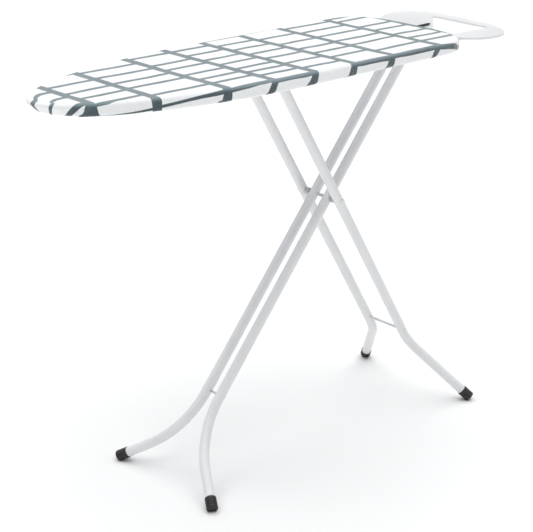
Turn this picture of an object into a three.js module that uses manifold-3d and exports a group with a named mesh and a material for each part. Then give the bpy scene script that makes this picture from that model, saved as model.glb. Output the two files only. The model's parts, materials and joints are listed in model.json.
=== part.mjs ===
// A folding ironing board, in millimetres. +Z is up and the floor is z = 0. +X runs from the nose of the
// board to its iron rest, and +Y is the left side for someone who looks along +X.
//
// The board stands on two crossed leg frames. The hinged frame turns on a rod under the tail and stands
// under the nose. The sliding frame is pinned to it, stands under the tail, and its slide bar travels in
// the guides under the nose as the legs fold. Both frames are flat, so they lie in each other when folded.

import * as THREE from "three";
import { mergeVertices } from "three/addons/utils/BufferGeometryUtils.js";
import Module from "manifold-3d";

// ---- Driving dimensions ----

const WORKING_HEIGHT = 900;
const GAP = 0.3;

// Plan of the board, at the outside of its cover.
const NOSE_X = -616;
const TAIL_X = 432;
const HALF_WIDTH = 177;
const NOSE_TAPER = 482;
const TAIL_ROUNDING = 166;

// Layers of the board, from the top down.
const COVER_THICKNESS = 1.4;
const PAD_THICKNESS = 5;
const PANEL_THICKNESS = 1;
const PANEL_DEPTH = 16;
const PANEL_LIP = 8;
const COVER_DEPTH = 27.8;
const COVER_LIP = 12;
const COVER_TOP = WORKING_HEIGHT;
const PAD_TOP = COVER_TOP - COVER_THICKNESS - GAP;
const PANEL_TOP = PAD_TOP - PAD_THICKNESS - GAP;
const UNDERSIDE = PANEL_TOP - PANEL_THICKNESS;
const PANEL_INSET = COVER_THICKNESS + 0.6;

// Leg tubes.
const TUBE_RADIUS = 11;
const TUBE_WALL = 1.1;
const TUBE_SIDES = 14;
const ROD_CLEARANCE = 0.4;

// Side view of the crossed legs: where they are pinned, and how steeply each frame stands.
const PIVOT = { x: 139.5, z: 557 };
const HINGED = {
  name: "hinged",
  direction: -1,
  slope: THREE.MathUtils.degToRad(50.3),
  halfSpacing: 21,
  pivotToTop: 396.4,
  pastTop: 10,
  pivotToBend: 499,
  bendRadius: 214,
  splay: THREE.MathUtils.degToRad(48.2),
  flare: THREE.MathUtils.degToRad(2),
  bendToFoot: 88.5,
  spacerAt: 497,
  spacerRadius: 2.8,
};
const SLIDING = {
  name: "sliding",
  direction: 1,
  slope: THREE.MathUtils.degToRad(58.3),
  halfSpacing: 55,
  pivotToTop: 365.5,
  pastTop: 12,
  pivotToBend: 450,
  bendRadius: 100,
  splay: THREE.MathUtils.degToRad(34),
  flare: THREE.MathUtils.degToRad(4.4),
  bendToFoot: 181,
  spacerAt: 438,
  spacerRadius: 3,
};
const PIVOT_ROD_RADIUS = 4;
const HINGE_ROD_RADIUS = 4;
const SLIDE_BAR_RADIUS = 6;
const FOOT = { radius: 12.7, length: 28, sole: 7 };

// Iron rest: a pressed plate behind the tail, on two arms of round bar.
const REST_TOP = 889;
const REST_THICKNESS = 1.2;
const REST_RIM = 6.5;
const REST_ARM_RADIUS = 4;
const REST_ARM_Y = 106;

// ---- Materials ----

const finish = (color, roughness, metalness) =>
  new THREE.MeshStandardMaterial({ color, roughness, metalness });
const whiteEnamel = finish(0xe9ebec, 0.35, 0.1);
const zincSteel = finish(0xb4b8ba, 0.35, 0.9);
const blackPlastic = finish(0x1d1e1f, 0.55, 0);
const blackSilicone = finish(0x161718, 0.7, 0);
const greyPlastic = finish(0x8d9296, 0.5, 0);
const feltPad = finish(0xd9d6cf, 0.95, 0);
const checkedCotton = finish(0xdde4e6, 0.9, 0);

// ---- Solids ----

const wasm = await Module();
wasm.setup();

// Three.js geometry as a manifold-3d solid.
function solid(geometry) {
  const bare = geometry.clone();
  bare.deleteAttribute("normal");
  bare.deleteAttribute("uv");
  const merged = mergeVertices(bare, 1e-4);
  return new wasm.Manifold(
    new wasm.Mesh({
      numProp: 3,
      vertProperties: new Float32Array(merged.attributes.position.array),
      triVerts: new Uint32Array(merged.index.array),
    }),
  );
}

// A manifold-3d solid as three.js geometry.
function geometryOf(manifold) {
  const mesh = manifold.getMesh();
  const geometry = new THREE.BufferGeometry();
  geometry.setAttribute("position", new THREE.BufferAttribute(mesh.vertProperties, 3));
  geometry.setIndex(new THREE.BufferAttribute(mesh.triVerts, 1));
  geometry.computeVertexNormals();
  return geometry;
}

const cut = (body, ...tools) =>
  geometryOf(tools.reduce((left, tool) => left.subtract(solid(tool)), solid(body)));

const join = (...bodies) =>
  geometryOf(bodies.map(solid).reduce((all, next) => all.add(next)));

// A flat shape in X and Y, from height low to height high.
function slab(shape, low, high, curveSegments = 8) {
  const options = { depth: high - low, bevelEnabled: false, curveSegments };
  return new THREE.ExtrudeGeometry(shape, options).translate(0, 0, low);
}

// A shape drawn in X and Z, with its thickness along Y from low to high.
function upright(shape, low, high, curveSegments = 6) {
  const options = { depth: high - low, bevelEnabled: false, curveSegments };
  return new THREE.ExtrudeGeometry(shape, options).rotateX(Math.PI / 2).translate(0, high, 0);
}

function box(low, high) {
  const size = high.map((value, axis) => value - low[axis]);
  const middle = high.map((value, axis) => (value + low[axis]) / 2);
  return new THREE.BoxGeometry(...size).translate(...middle);
}

// A round bar along Y through (x, z).
function barAlongY(radius, low, high, x, z, sides = 16) {
  return new THREE.CylinderGeometry(radius, radius, high - low, sides).translate(x, (low + high) / 2, z);
}

// A round bar along Z through (x, y).
function barAlongZ(radius, low, high, x, y, sides = 12) {
  return new THREE.CylinderGeometry(radius, radius, high - low, sides)
    .rotateX(Math.PI / 2)
    .translate(x, y, (low + high) / 2);
}

// A body of revolution about Y. The profile is a list of [radius, height], from the bottom up.
function turned(profile, sides = 16) {
  return new THREE.LatheGeometry(profile.map(([radius, height]) => new THREE.Vector2(radius, height)), sides);
}

// A washer-like ring about Y, from height low to height high.
function ring(inner, outer, low, high, sides = 16) {
  return turned([[inner, low], [outer, low], [outer, high], [inner, high], [inner, low]], sides);
}

// A bar with a rivet head at each end, along Y. halfSpan is from its middle to the underside of a head.
function rivetedBar(radius, halfSpan, headRadius, headHeight, sides = 16) {
  const end = halfSpan + headHeight;
  return turned(
    [
      [0, -end],
      [headRadius * 0.6, -end],
      [headRadius, -halfSpan - headHeight * 0.4],
      [headRadius, -halfSpan],
      [radius, -halfSpan],
      [radius, halfSpan],
      [headRadius, halfSpan],
      [headRadius, halfSpan + headHeight * 0.4],
      [headRadius * 0.6, end],
      [0, end],
    ],
    sides,
  );
}

// A screw or rivet along Z, with its head below and its shank going up.
function fastener(x, y, headBottom, headTop, shankTop, headRadius, shankRadius) {
  return turned(
    [
      [0, headBottom],
      [headRadius * 0.65, headBottom],
      [headRadius, headBottom + (headTop - headBottom) * 0.6],
      [headRadius, headTop],
      [shankRadius, headTop],
      [shankRadius, shankTop],
      [0, shankTop],
    ],
    12,
  )
    .rotateX(Math.PI / 2)
    .translate(x, y, 0);
}

// ---- Bent bars and tubes ----

// A path through stations, each a point and a tangent. Every station has an equal share of the path's
// parameter, so an extrusion along it spends its steps on the bends.
class StationPath extends THREE.Curve {
  constructor(stations) {
    super();
    this.stations = stations;
  }
  getUtoTmapping(u) {
    return u;
  }
  between(t, key, target) {
    const place = THREE.MathUtils.clamp(t, 0, 1) * (this.stations.length - 1);
    const index = Math.min(Math.floor(place + 1e-9), this.stations.length - 2);
    return target.lerpVectors(this.stations[index][key], this.stations[index + 1][key], place - index);
  }
  getPoint(t, target = new THREE.Vector3()) {
    return this.between(t, "point", target);
  }
  getTangent(t, target = new THREE.Vector3()) {
    return this.between(t, "tangent", target).normalize();
  }
}

// The stations of a line through corners, each rounded to an arc of bendRadius.
function bentPath(corners, bendRadius, stepsPerBend) {
  const stations = [];
  const heading = (from, to) => to.clone().sub(from).normalize();
  stations.push({ point: corners[0].clone(), tangent: heading(corners[0], corners[1]) });
  for (let i = 1; i < corners.length - 1; i += 1) {
    const before = heading(corners[i - 1], corners[i]);
    const after = heading(corners[i], corners[i + 1]);
    const turn = before.angleTo(after);
    const setback = bendRadius * Math.tan(turn / 2);
    const start = corners[i].clone().addScaledVector(before, -setback);
    const inward = after.clone().addScaledVector(before, -after.dot(before)).normalize();
    for (let step = 0; step <= stepsPerBend; step += 1) {
      const angle = (turn * step) / stepsPerBend;
      const point = start
        .clone()
        .addScaledVector(before, bendRadius * Math.sin(angle))
        .addScaledVector(inward, bendRadius * (1 - Math.cos(angle)));
      const tangent = before.clone().multiplyScalar(Math.cos(angle)).addScaledVector(inward, Math.sin(angle));
      stations.push({ point, tangent });
    }
  }
  const last = corners.length - 1;
  stations.push({ point: corners[last].clone(), tangent: heading(corners[last - 1], corners[last]) });
  return new StationPath(stations);
}

function circleShape(radius, sides) {
  const corner = (i) => (2 * Math.PI * i) / sides;
  const points = Array.from(
    { length: sides },
    (_, i) => new THREE.Vector2(radius * Math.cos(corner(i)), radius * Math.sin(corner(i))),
  );
  return new THREE.Shape(points);
}

const alongPath = (shape, path) =>
  new THREE.ExtrudeGeometry(shape, {
    extrudePath: path,
    steps: path.stations.length - 1,
    bevelEnabled: false,
    curveSegments: 1,
  });

function bentBar(corners, radius, bendRadius, stepsPerBend = 4, sides = 8) {
  return alongPath(circleShape(radius, sides), bentPath(corners, bendRadius, stepsPerBend));
}

function bentTube(corners, radius, wall, bendRadius, stepsPerBend, sides) {
  const section = circleShape(radius, sides);
  section.holes.push(circleShape(radius - wall, sides));
  return alongPath(section, bentPath(corners, bendRadius, stepsPerBend));
}

// ---- Assembly ----

const ironingBoard = new THREE.Group();

function addPiece(name, geometry, material) {
  const mesh = new THREE.Mesh(geometry, material);
  mesh.name = name;
  ironingBoard.add(mesh);
}

const SIDES = [
  { name: "left", sign: 1 },
  { name: "right", sign: -1 },
];

// ---- Plan of the board ----

// Half outlines are superellipses. The nose comes to a blunt point, and the tail has full, round corners.
const NOSE_POWERS = { along: 1.65, across: 2 };
const TAIL_POWERS = { along: 5, across: 3 };

// The board's outline, moved inwards by inset.
function boardOutline(inset, noseSteps = 14, tailSteps = 10) {
  const halfWidth = HALF_WIDTH - inset;
  const ends = [
    { from: NOSE_X + NOSE_TAPER, reach: -(NOSE_TAPER - inset), powers: NOSE_POWERS, steps: noseSteps },
    { from: TAIL_X - TAIL_ROUNDING, reach: TAIL_ROUNDING - inset, powers: TAIL_POWERS, steps: tailSteps },
  ];
  const leftSide = [];
  for (const [index, end] of ends.entries()) {
    for (let step = 0; step <= end.steps; step += 1) {
      const angle = ((index === 0 ? step : end.steps - step) / end.steps) * (Math.PI / 2);
      const along = Math.cos(angle) ** (2 / end.powers.along);
      const across = Math.sin(angle) ** (2 / end.powers.across);
      leftSide.push(new THREE.Vector2(end.from + end.reach * along, halfWidth * across));
    }
  }
  const mirrored = leftSide.slice(1, -1).map((point) => new THREE.Vector2(point.x, -point.y));
  return new THREE.Shape([...mirrored, ...leftSide.reverse()]);
}

function halfWidthAt(x) {
  const nose = (NOSE_X + NOSE_TAPER - x) / NOSE_TAPER;
  const tail = (x - TAIL_X + TAIL_ROUNDING) / TAIL_ROUNDING;
  if (nose > 0) return HALF_WIDTH * (1 - nose ** NOSE_POWERS.along) ** (1 / NOSE_POWERS.across);
  if (tail > 0) return HALF_WIDTH * (1 - tail ** TAIL_POWERS.along) ** (1 / TAIL_POWERS.across);
  return HALF_WIDTH;
}

// ---- Cover and pad ----

function makeCover() {
  const bottom = COVER_TOP - COVER_DEPTH;
  const hollow = boardOutline(COVER_THICKNESS + 0.2);
  const inside = slab(hollow, bottom + COVER_THICKNESS, COVER_TOP - COVER_THICKNESS);
  const mouth = slab(boardOutline(COVER_LIP), bottom - 1, bottom + COVER_THICKNESS + 1);
  addPiece("cover", cut(slab(boardOutline(0), bottom, COVER_TOP), inside, mouth), checkedCotton);
}

function makePad() {
  addPiece("foam_pad", slab(boardOutline(PANEL_INSET + 0.5), PAD_TOP - PAD_THICKNESS, PAD_TOP), feltPad);
}

// ---- Panel ----

const HOLE_PITCH = 84;
const HOLE_RADIUS = 8;
const HOLE_MARGIN = 32;
const SCREW_HOLE_RADIUS = 2.9;

const HINGE = {
  x: PIVOT.x + HINGED.pivotToTop * Math.cos(HINGED.slope),
  z: PIVOT.z + HINGED.pivotToTop * Math.sin(HINGED.slope),
};
const SLIDE = {
  x: PIVOT.x - SLIDING.pivotToTop * Math.cos(SLIDING.slope),
  z: PIVOT.z + SLIDING.pivotToTop * Math.sin(SLIDING.slope),
};

const BRACKET = { inner: 33, thickness: 2.4, flange: 24, front: HINGE.x - 34, back: HINGE.x + 11.5 };
const BRACKET_SCREWS_X = [BRACKET.front + 9, BRACKET.back - 10];
const BRACKET_SCREW_Y = BRACKET.inner + 15;
const RACK = {
  noseEnd: SLIDE.x - 340,
  tailEnd: SLIDE.x + 22,
  half: 13.5,
  wall: 1.4,
  bottom: 878.8,
  notchTop: 885,
};
const RACK_RIVETS_X = [RACK.noseEnd + 18, (RACK.noseEnd + RACK.tailEnd) / 2, RACK.tailEnd - 10];

// Every place on the panel where a screw or a rivet goes through.
const PANEL_FASTENERS = [
  ...BRACKET_SCREWS_X.flatMap((x) => SIDES.map((side) => [x, side.sign * BRACKET_SCREW_Y])),
  ...RACK_RIVETS_X.map((x) => [x, 0]),
];

function roundHole(x, y, radius, sides) {
  const points = Array.from({ length: sides }, (_, i) => {
    const angle = (2 * Math.PI * (i + 0.5)) / sides;
    return new THREE.Vector2(x + radius * Math.cos(angle), y + radius * Math.sin(angle));
  });
  return new THREE.Path(points);
}

// Steam holes stand in staggered rows, clear of the panel's edge and of its fasteners.
function steamHoles() {
  const holes = [];
  const rowPitch = HOLE_PITCH / 2;
  const firstX = NOSE_X + 58;
  for (let row = 0; firstX + row * rowPitch < TAIL_X - HOLE_MARGIN; row += 1) {
    const x = firstX + row * rowPitch;
    const offset = row % 2 === 0 ? 0 : HOLE_PITCH / 2;
    const room = halfWidthAt(x) - HOLE_MARGIN;
    for (let y = -3 * HOLE_PITCH + offset; y <= 3 * HOLE_PITCH; y += HOLE_PITCH) {
      const nearFastener = PANEL_FASTENERS.some(([fx, fy]) => Math.hypot(fx - x, fy - y) < HOLE_RADIUS + 8);
      if (Math.abs(y) < room && !nearFastener) holes.push(roundHole(x, y, HOLE_RADIUS, 8));
    }
  }
  return holes;
}

// A pressed steel sheet: a perforated top, a wall turned down all round and a lip turned in.
function makePanel() {
  const bottom = PANEL_TOP - PANEL_DEPTH;
  const top = boardOutline(PANEL_INSET);
  top.holes.push(...steamHoles());
  top.holes.push(...PANEL_FASTENERS.map(([x, y]) => roundHole(x, y, SCREW_HOLE_RADIUS, 8)));
  const wall = boardOutline(PANEL_INSET);
  wall.holes.push(boardOutline(PANEL_INSET + 1.1));
  const lip = boardOutline(PANEL_INSET);
  lip.holes.push(boardOutline(PANEL_INSET + PANEL_LIP));
  const sheet = join(
    slab(top, UNDERSIDE, PANEL_TOP),
    slab(wall, bottom, PANEL_TOP),
    slab(lip, bottom, bottom + PANEL_THICKNESS),
  );
  addPiece("board_panel", sheet, whiteEnamel);
}

// A hat-section rib across the underside.
function makeRib(name, x) {
  const high = UNDERSIDE - GAP;
  const low = high - 6.2;
  const sheet = 1.1;
  const half = { brim: 19, crown: 10 };
  const shape = new THREE.Shape();
  shape.moveTo(x - half.brim, high);
  shape.lineTo(x - half.brim, high - sheet);
  shape.lineTo(x - half.crown, high - sheet);
  shape.lineTo(x - half.crown + 2, low);
  shape.lineTo(x + half.crown - 2, low);
  shape.lineTo(x + half.crown, high - sheet);
  shape.lineTo(x + half.brim, high - sheet);
  shape.lineTo(x + half.brim, high);
  shape.lineTo(x + half.crown - 1, high);
  shape.lineTo(x + half.crown - 3, low + sheet);
  shape.lineTo(x - half.crown + 3, low + sheet);
  shape.lineTo(x - half.crown + 1, high);
  const reach = halfWidthAt(x) - 24;
  addPiece(name, upright(shape, -reach, reach), whiteEnamel);
}

// ---- Tail hinge ----

function makeHingeBracket(side) {
  const high = UNDERSIDE - GAP;
  const eye = 11;
  const web = new THREE.Shape();
  web.moveTo(BRACKET.front, high);
  web.lineTo(BRACKET.front, high - 6);
  web.lineTo(HINGE.x - eye, HINGE.z);
  web.absarc(HINGE.x, HINGE.z, eye, Math.PI, 2 * Math.PI, false);
  web.lineTo(BRACKET.back, high);
  const inner = BRACKET.inner;
  const flangeLow = Math.min(side.sign * inner, side.sign * (inner + BRACKET.flange));
  const flangeHigh = flangeLow + BRACKET.flange;
  const webLow = Math.min(side.sign * inner, side.sign * (inner + BRACKET.thickness));
  const flange = box([BRACKET.front, flangeLow, high - BRACKET.thickness], [BRACKET.back, flangeHigh, high]);
  const holes = BRACKET_SCREWS_X.map((x) =>
    barAlongZ(SCREW_HOLE_RADIUS, high - 5, high + 1, x, side.sign * BRACKET_SCREW_Y, 8),
  );
  const eyeHole = barAlongY(HINGE_ROD_RADIUS + ROD_CLEARANCE, webLow - 1, webLow + 4, HINGE.x, HINGE.z);
  const bent = join(upright(web, webLow, webLow + BRACKET.thickness), flange);
  addPiece("hinge_bracket_" + side.name, cut(bent, ...holes, eyeHole), zincSteel);
  for (const [index, x] of BRACKET_SCREWS_X.entries()) {
    const under = high - BRACKET.thickness - GAP;
    const screw = fastener(x, side.sign * BRACKET_SCREW_Y, under - 2.6, under, PANEL_TOP - 0.2, 4.6, 2.4);
    addPiece("hinge_screw_" + side.name + "_" + (index + 1), screw, zincSteel);
  }
}

function makeHingeRod() {
  const halfSpan = BRACKET.inner + BRACKET.thickness + GAP;
  const rod = rivetedBar(HINGE_ROD_RADIUS, halfSpan, 7, 2.6).translate(HINGE.x, 0, HINGE.z);
  addPiece("hinge_rod", rod, zincSteel);
}

// ---- Height rack and slide guides ----

const RACK_PITCH = 42;

// A folded channel whose two walls have notches along their lower edges.
function makeHeightRack() {
  const high = UNDERSIDE - GAP;
  const teeth = new THREE.Shape();
  teeth.moveTo(RACK.tailEnd, high);
  teeth.lineTo(RACK.noseEnd, high);
  teeth.lineTo(RACK.noseEnd, RACK.bottom);
  for (let x = RACK.noseEnd + RACK_PITCH / 2; x < RACK.tailEnd - 16; x += RACK_PITCH) {
    teeth.lineTo(x - 8, RACK.bottom);
    teeth.lineTo(x - 7, RACK.notchTop);
    teeth.lineTo(x + 5, RACK.notchTop);
    teeth.lineTo(x + 13, RACK.bottom);
  }
  teeth.lineTo(RACK.tailEnd, RACK.bottom);
  const web = box([RACK.noseEnd, -RACK.half, high - RACK.wall], [RACK.tailEnd, RACK.half, high]);
  const channel = join(
    web,
    upright(teeth, RACK.half - RACK.wall, RACK.half),
    upright(teeth, -RACK.half, RACK.wall - RACK.half),
  );
  const holes = RACK_RIVETS_X.map((x) => barAlongZ(SCREW_HOLE_RADIUS, high - 4, high + 1, x, 0, 8));
  addPiece("height_rack", cut(channel, ...holes), zincSteel);
  for (const [index, x] of RACK_RIVETS_X.entries()) {
    const under = high - RACK.wall - GAP;
    const rivet = fastener(x, 0, under - 2, under, PANEL_TOP - 0.2, 4.4, 2.4);
    addPiece("rack_rivet_" + (index + 1), rivet, zincSteel);
  }
}

// Round wire that hangs from the panel and carries the slide bar from below. It falls towards the nose,
// because the slide bar ends lower there once the legs are folded.
const GUIDE = { wire: 2.5, y: 38, bend: 9, pastBar: 26, travel: 338, tailZ: 857.6, noseZ: 850 };

function makeSlideGuide(side) {
  const y = side.sign * GUIDE.y;
  const tailEnd = SLIDE.x + GUIDE.pastBar;
  const noseEnd = SLIDE.x - GUIDE.travel;
  const top = UNDERSIDE - GAP;
  const corners = [
    new THREE.Vector3(tailEnd, y, top),
    new THREE.Vector3(tailEnd, y, GUIDE.tailZ),
    new THREE.Vector3(noseEnd, y, GUIDE.noseZ),
    new THREE.Vector3(noseEnd, y, top),
  ];
  addPiece("slide_guide_" + side.name, bentBar(corners, GUIDE.wire, GUIDE.bend), zincSteel);
}

// ---- Release lever ----

const LEVER = { x: 5, pivotY: 96, low: 861.4, high: 864.4, halfWidth: 6, innerEnd: 12, outerEnd: 172 };
const LEVER_EYE = { radius: 10, bore: 3.4 };
const LEVER_NIB = 10;
const GRIP = { from: 128, to: 176, halfWidth: 11, neck: 8, taper: 12, below: 3.4, above: 3.2 };

// A flat bar that widens to an eye round its post. Its nib points towards the rack.
function makeLeverArm() {
  const spread = Math.acos(LEVER.halfWidth / LEVER_EYE.radius);
  const eyeReach = LEVER_EYE.radius * Math.sin(spread);
  const noseEdge = LEVER.x - LEVER.halfWidth;
  const tailEdge = LEVER.x + LEVER.halfWidth;
  const nibTop = LEVER.innerEnd + LEVER_NIB;
  const arm = new THREE.Shape();
  arm.moveTo(tailEdge, LEVER.innerEnd);
  arm.lineTo(tailEdge, LEVER.pivotY - eyeReach);
  arm.absarc(LEVER.x, LEVER.pivotY, LEVER_EYE.radius, -spread, spread, false);
  arm.lineTo(tailEdge, LEVER.outerEnd);
  arm.lineTo(noseEdge, LEVER.outerEnd);
  arm.lineTo(noseEdge, LEVER.pivotY + eyeReach);
  arm.absarc(LEVER.x, LEVER.pivotY, LEVER_EYE.radius, Math.PI - spread, Math.PI + spread, false);
  arm.lineTo(noseEdge, nibTop);
  arm.lineTo(noseEdge - LEVER_NIB, nibTop);
  arm.lineTo(noseEdge - LEVER_NIB, LEVER.innerEnd);
  arm.holes.push(roundHole(LEVER.x, LEVER.pivotY, LEVER_EYE.bore, 14));
  addPiece("lever_arm", slab(arm, LEVER.low, LEVER.high), zincSteel);
}

// A flat moulded sleeve, pushed onto the outer end of the arm.
function makeLeverGrip() {
  const half = GRIP.halfWidth;
  const grip = new THREE.Shape();
  grip.moveTo(LEVER.x + GRIP.neck, GRIP.from);
  grip.lineTo(LEVER.x + half, GRIP.from + GRIP.taper);
  grip.lineTo(LEVER.x + half, GRIP.to - half);
  grip.absarc(LEVER.x, GRIP.to - half, half, 0, Math.PI, false);
  grip.lineTo(LEVER.x - half, GRIP.from + GRIP.taper);
  grip.lineTo(LEVER.x - GRIP.neck, GRIP.from);
  const pocket = box(
    [LEVER.x - LEVER.halfWidth - GAP, GRIP.from - 1, LEVER.low - GAP],
    [LEVER.x + LEVER.halfWidth + GAP, LEVER.outerEnd + GAP, LEVER.high + GAP],
  );
  const sleeve = slab(grip, LEVER.low - GRIP.below, LEVER.high + GRIP.above);
  addPiece("lever_grip", cut(sleeve, pocket), blackPlastic);
}

function makeLeverMount() {
  const shoulder = LEVER.high + GAP;
  const post = turned([
    [0, LEVER.low - 3.2],
    [3, LEVER.low - 3.2],
    [3, shoulder],
    [6.5, shoulder],
    [6.5, UNDERSIDE - GAP],
    [0, UNDERSIDE - GAP],
  ])
    .rotateX(Math.PI / 2)
    .translate(LEVER.x, LEVER.pivotY, 0);
  addPiece("lever_post", post, zincSteel);
  const clip = ring(3.3, 6.4, LEVER.low - 2.4, LEVER.low - 0.6)
    .rotateX(Math.PI / 2)
    .translate(LEVER.x, LEVER.pivotY, 0);
  addPiece("lever_clip", clip, zincSteel);
}

// The return spring is wound round the post above the arm.
class Helix extends THREE.Curve {
  constructor(radius, low, high, turns) {
    super();
    Object.assign(this, { radius, low, high, turns });
  }
  getPoint(t, target = new THREE.Vector3()) {
    const angle = 2 * Math.PI * this.turns * t;
    const height = THREE.MathUtils.lerp(this.low, this.high, t);
    return target.set(this.radius * Math.cos(angle), this.radius * Math.sin(angle), height);
  }
}

function makeLeverSpring() {
  const turns = 4;
  const coil = new Helix(8.6, LEVER.high + 4, LEVER.high + 18, turns);
  const options = { extrudePath: coil, steps: turns * 12, bevelEnabled: false, curveSegments: 1 };
  const spring = new THREE.ExtrudeGeometry(circleShape(0.8, 6), options);
  addPiece("lever_spring", spring.translate(LEVER.x, LEVER.pivotY, 0), zincSteel);
}

// ---- Leg frames ----

// A point of a leg frame: down is the distance below the pivot along the frame, and y is across it.
function framePoint(frame, down, y) {
  const x = PIVOT.x + frame.direction * down * Math.cos(frame.slope);
  return new THREE.Vector3(x, y, PIVOT.z - down * Math.sin(frame.slope));
}

// The way the straight end of a leg runs, below its bend: splayed sideways and flared outwards.
function footHeading(frame, side) {
  const slope = frame.slope - frame.flare;
  const along = Math.cos(frame.splay);
  return new THREE.Vector3(
    frame.direction * along * Math.cos(slope),
    side.sign * Math.sin(frame.splay),
    -along * Math.sin(slope),
  );
}

function legCorners(frame, side, short) {
  const setback = frame.bendRadius * Math.tan(frame.splay / 2);
  const corner = framePoint(frame, frame.pivotToBend + setback, side.sign * frame.halfSpacing);
  const top = framePoint(frame, -frame.pivotToTop - frame.pastTop, side.sign * frame.halfSpacing);
  const end = corner.clone().addScaledVector(footHeading(frame, side), setback + frame.bendToFoot - short);
  return [top, corner, end];
}

function makeLeg(frame, side, topBarRadius) {
  const corners = legCorners(frame, side, FOOT.sole + 0.5);
  const tube = bentTube(corners, TUBE_RADIUS, TUBE_WALL, frame.bendRadius, 8, TUBE_SIDES);
  const inner = frame.halfSpacing - TUBE_RADIUS - 2;
  const outer = frame.halfSpacing + TUBE_RADIUS + 2;
  const bores = [
    { down: -frame.pivotToTop, radius: topBarRadius },
    { down: 0, radius: PIVOT_ROD_RADIUS },
    { down: frame.spacerAt, radius: frame.spacerRadius },
  ].map(({ down, radius }) => {
    const place = framePoint(frame, down, 0);
    const ends = [side.sign * inner, side.sign * outer].sort((a, b) => a - b);
    return barAlongY(radius + ROD_CLEARANCE, ends[0], ends[1], place.x, place.z);
  });
  addPiece(frame.name + "_tube_" + side.name, cut(tube, ...bores), whiteEnamel);
}

// A moulded cap with a flat sole, cut where it stands on the floor.
function makeFoot(frame, side) {
  const corners = legCorners(frame, side, 0);
  const end = corners[corners.length - 1];
  const bore = TUBE_RADIUS + 0.5;
  const cap = turned([
    [0, 0],
    [FOOT.radius - 1, 0],
    [FOOT.radius, 2],
    [FOOT.radius, FOOT.length - 5],
    [FOOT.radius - 0.8, FOOT.length],
    [bore, FOOT.length],
    [bore, FOOT.sole],
    [0, FOOT.sole],
  ]);
  const upLeg = footHeading(frame, side).negate();
  const turn = new THREE.Quaternion().setFromUnitVectors(new THREE.Vector3(0, 1, 0), upLeg);
  cap.applyQuaternion(turn).translate(end.x, end.y, end.z);
  const reach = 60;
  const ground = box([end.x - reach, end.y - reach, -reach], [end.x + reach, end.y + reach, 0]);
  addPiece(frame.name + "_foot_" + side.name, cut(cap, ground), blackPlastic);
}

function makeFrameSpacer(frame) {
  const place = framePoint(frame, frame.spacerAt, 0);
  const halfSpan = frame.halfSpacing + TUBE_RADIUS + GAP;
  const rod = rivetedBar(frame.spacerRadius, halfSpan, frame.spacerRadius + 2, 1.8, 12);
  addPiece(frame.name + "_spacer_rod", rod.translate(place.x, 0, place.z), zincSteel);
}

function makePivot() {
  const halfSpan = SLIDING.halfSpacing + TUBE_RADIUS + GAP;
  const rod = rivetedBar(PIVOT_ROD_RADIUS, halfSpan, 8, 3).translate(PIVOT.x, 0, PIVOT.z);
  addPiece("pivot_rod", rod, zincSteel);
  const from = HINGED.halfSpacing + TUBE_RADIUS + GAP;
  const to = SLIDING.halfSpacing - TUBE_RADIUS - GAP;
  for (const side of SIDES) {
    const low = side.sign > 0 ? from : -to;
    const bush = ring(PIVOT_ROD_RADIUS + ROD_CLEARANCE, 8, low, low + to - from);
    addPiece("pivot_bush_" + side.name, bush.translate(PIVOT.x, 0, PIVOT.z), greyPlastic);
  }
}

function makeHingeSleeve() {
  const half = HINGED.halfSpacing - TUBE_RADIUS - GAP;
  const sleeve = ring(HINGE_ROD_RADIUS + ROD_CLEARANCE, 6.5, -half, half);
  addPiece("hinge_sleeve", sleeve.translate(HINGE.x, 0, HINGE.z), greyPlastic);
}

function makeSlideBar() {
  const half = 73;
  addPiece("slide_bar", barAlongY(SLIDE_BAR_RADIUS, -half, half, SLIDE.x, SLIDE.z), zincSteel);
  const face = SLIDING.halfSpacing + TUBE_RADIUS + GAP;
  const bore = SLIDE_BAR_RADIUS + GAP;
  const outer = half + 3;
  for (const side of SIDES) {
    const profile = [
      [bore, face],
      [8, face],
      [8.6, face + 1.5],
      [8.6, outer - 2],
      [6.6, outer],
      [0, outer],
      [0, half + GAP],
      [bore, half + GAP],
      [bore, face],
    ];
    const glide = turned(profile).rotateZ(side.sign > 0 ? 0 : Math.PI);
    addPiece("slide_bar_cap_" + side.name, glide.translate(SLIDE.x, 0, SLIDE.z), blackPlastic);
  }
}

// ---- Iron rest ----

const REST_INNER_X = TAIL_X + 5;

// The outline of the plate, from its left end at the board round to its right end. It is a little askew,
// so that an iron lies slanted on it.
function restOutline() {
  const shape = new THREE.Shape();
  shape.moveTo(REST_INNER_X, 120);
  shape.quadraticCurveTo(492, 163, 536, 165);
  shape.quadraticCurveTo(616, 168, 616, 100);
  shape.lineTo(615, 0);
  shape.quadraticCurveTo(612, -104, 577, -141);
  shape.quadraticCurveTo(554, -165, 520, -163);
  shape.quadraticCurveTo(470, -162, REST_INNER_X, -112);
  return shape;
}

// The window is an iron's sole in outline, with its narrow end towards the board.
function restWindow() {
  const shape = new THREE.Shape();
  shape.moveTo(573, 68);
  shape.quadraticCurveTo(582, 75, 582, 62);
  shape.lineTo(580, -78);
  shape.quadraticCurveTo(579, -95, 562, -95);
  shape.lineTo(470, -87);
  shape.quadraticCurveTo(452, -86, 452, -70);
  shape.lineTo(452, -44);
  shape.quadraticCurveTo(452, -37, 460, -32);
  return shape;
}

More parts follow.
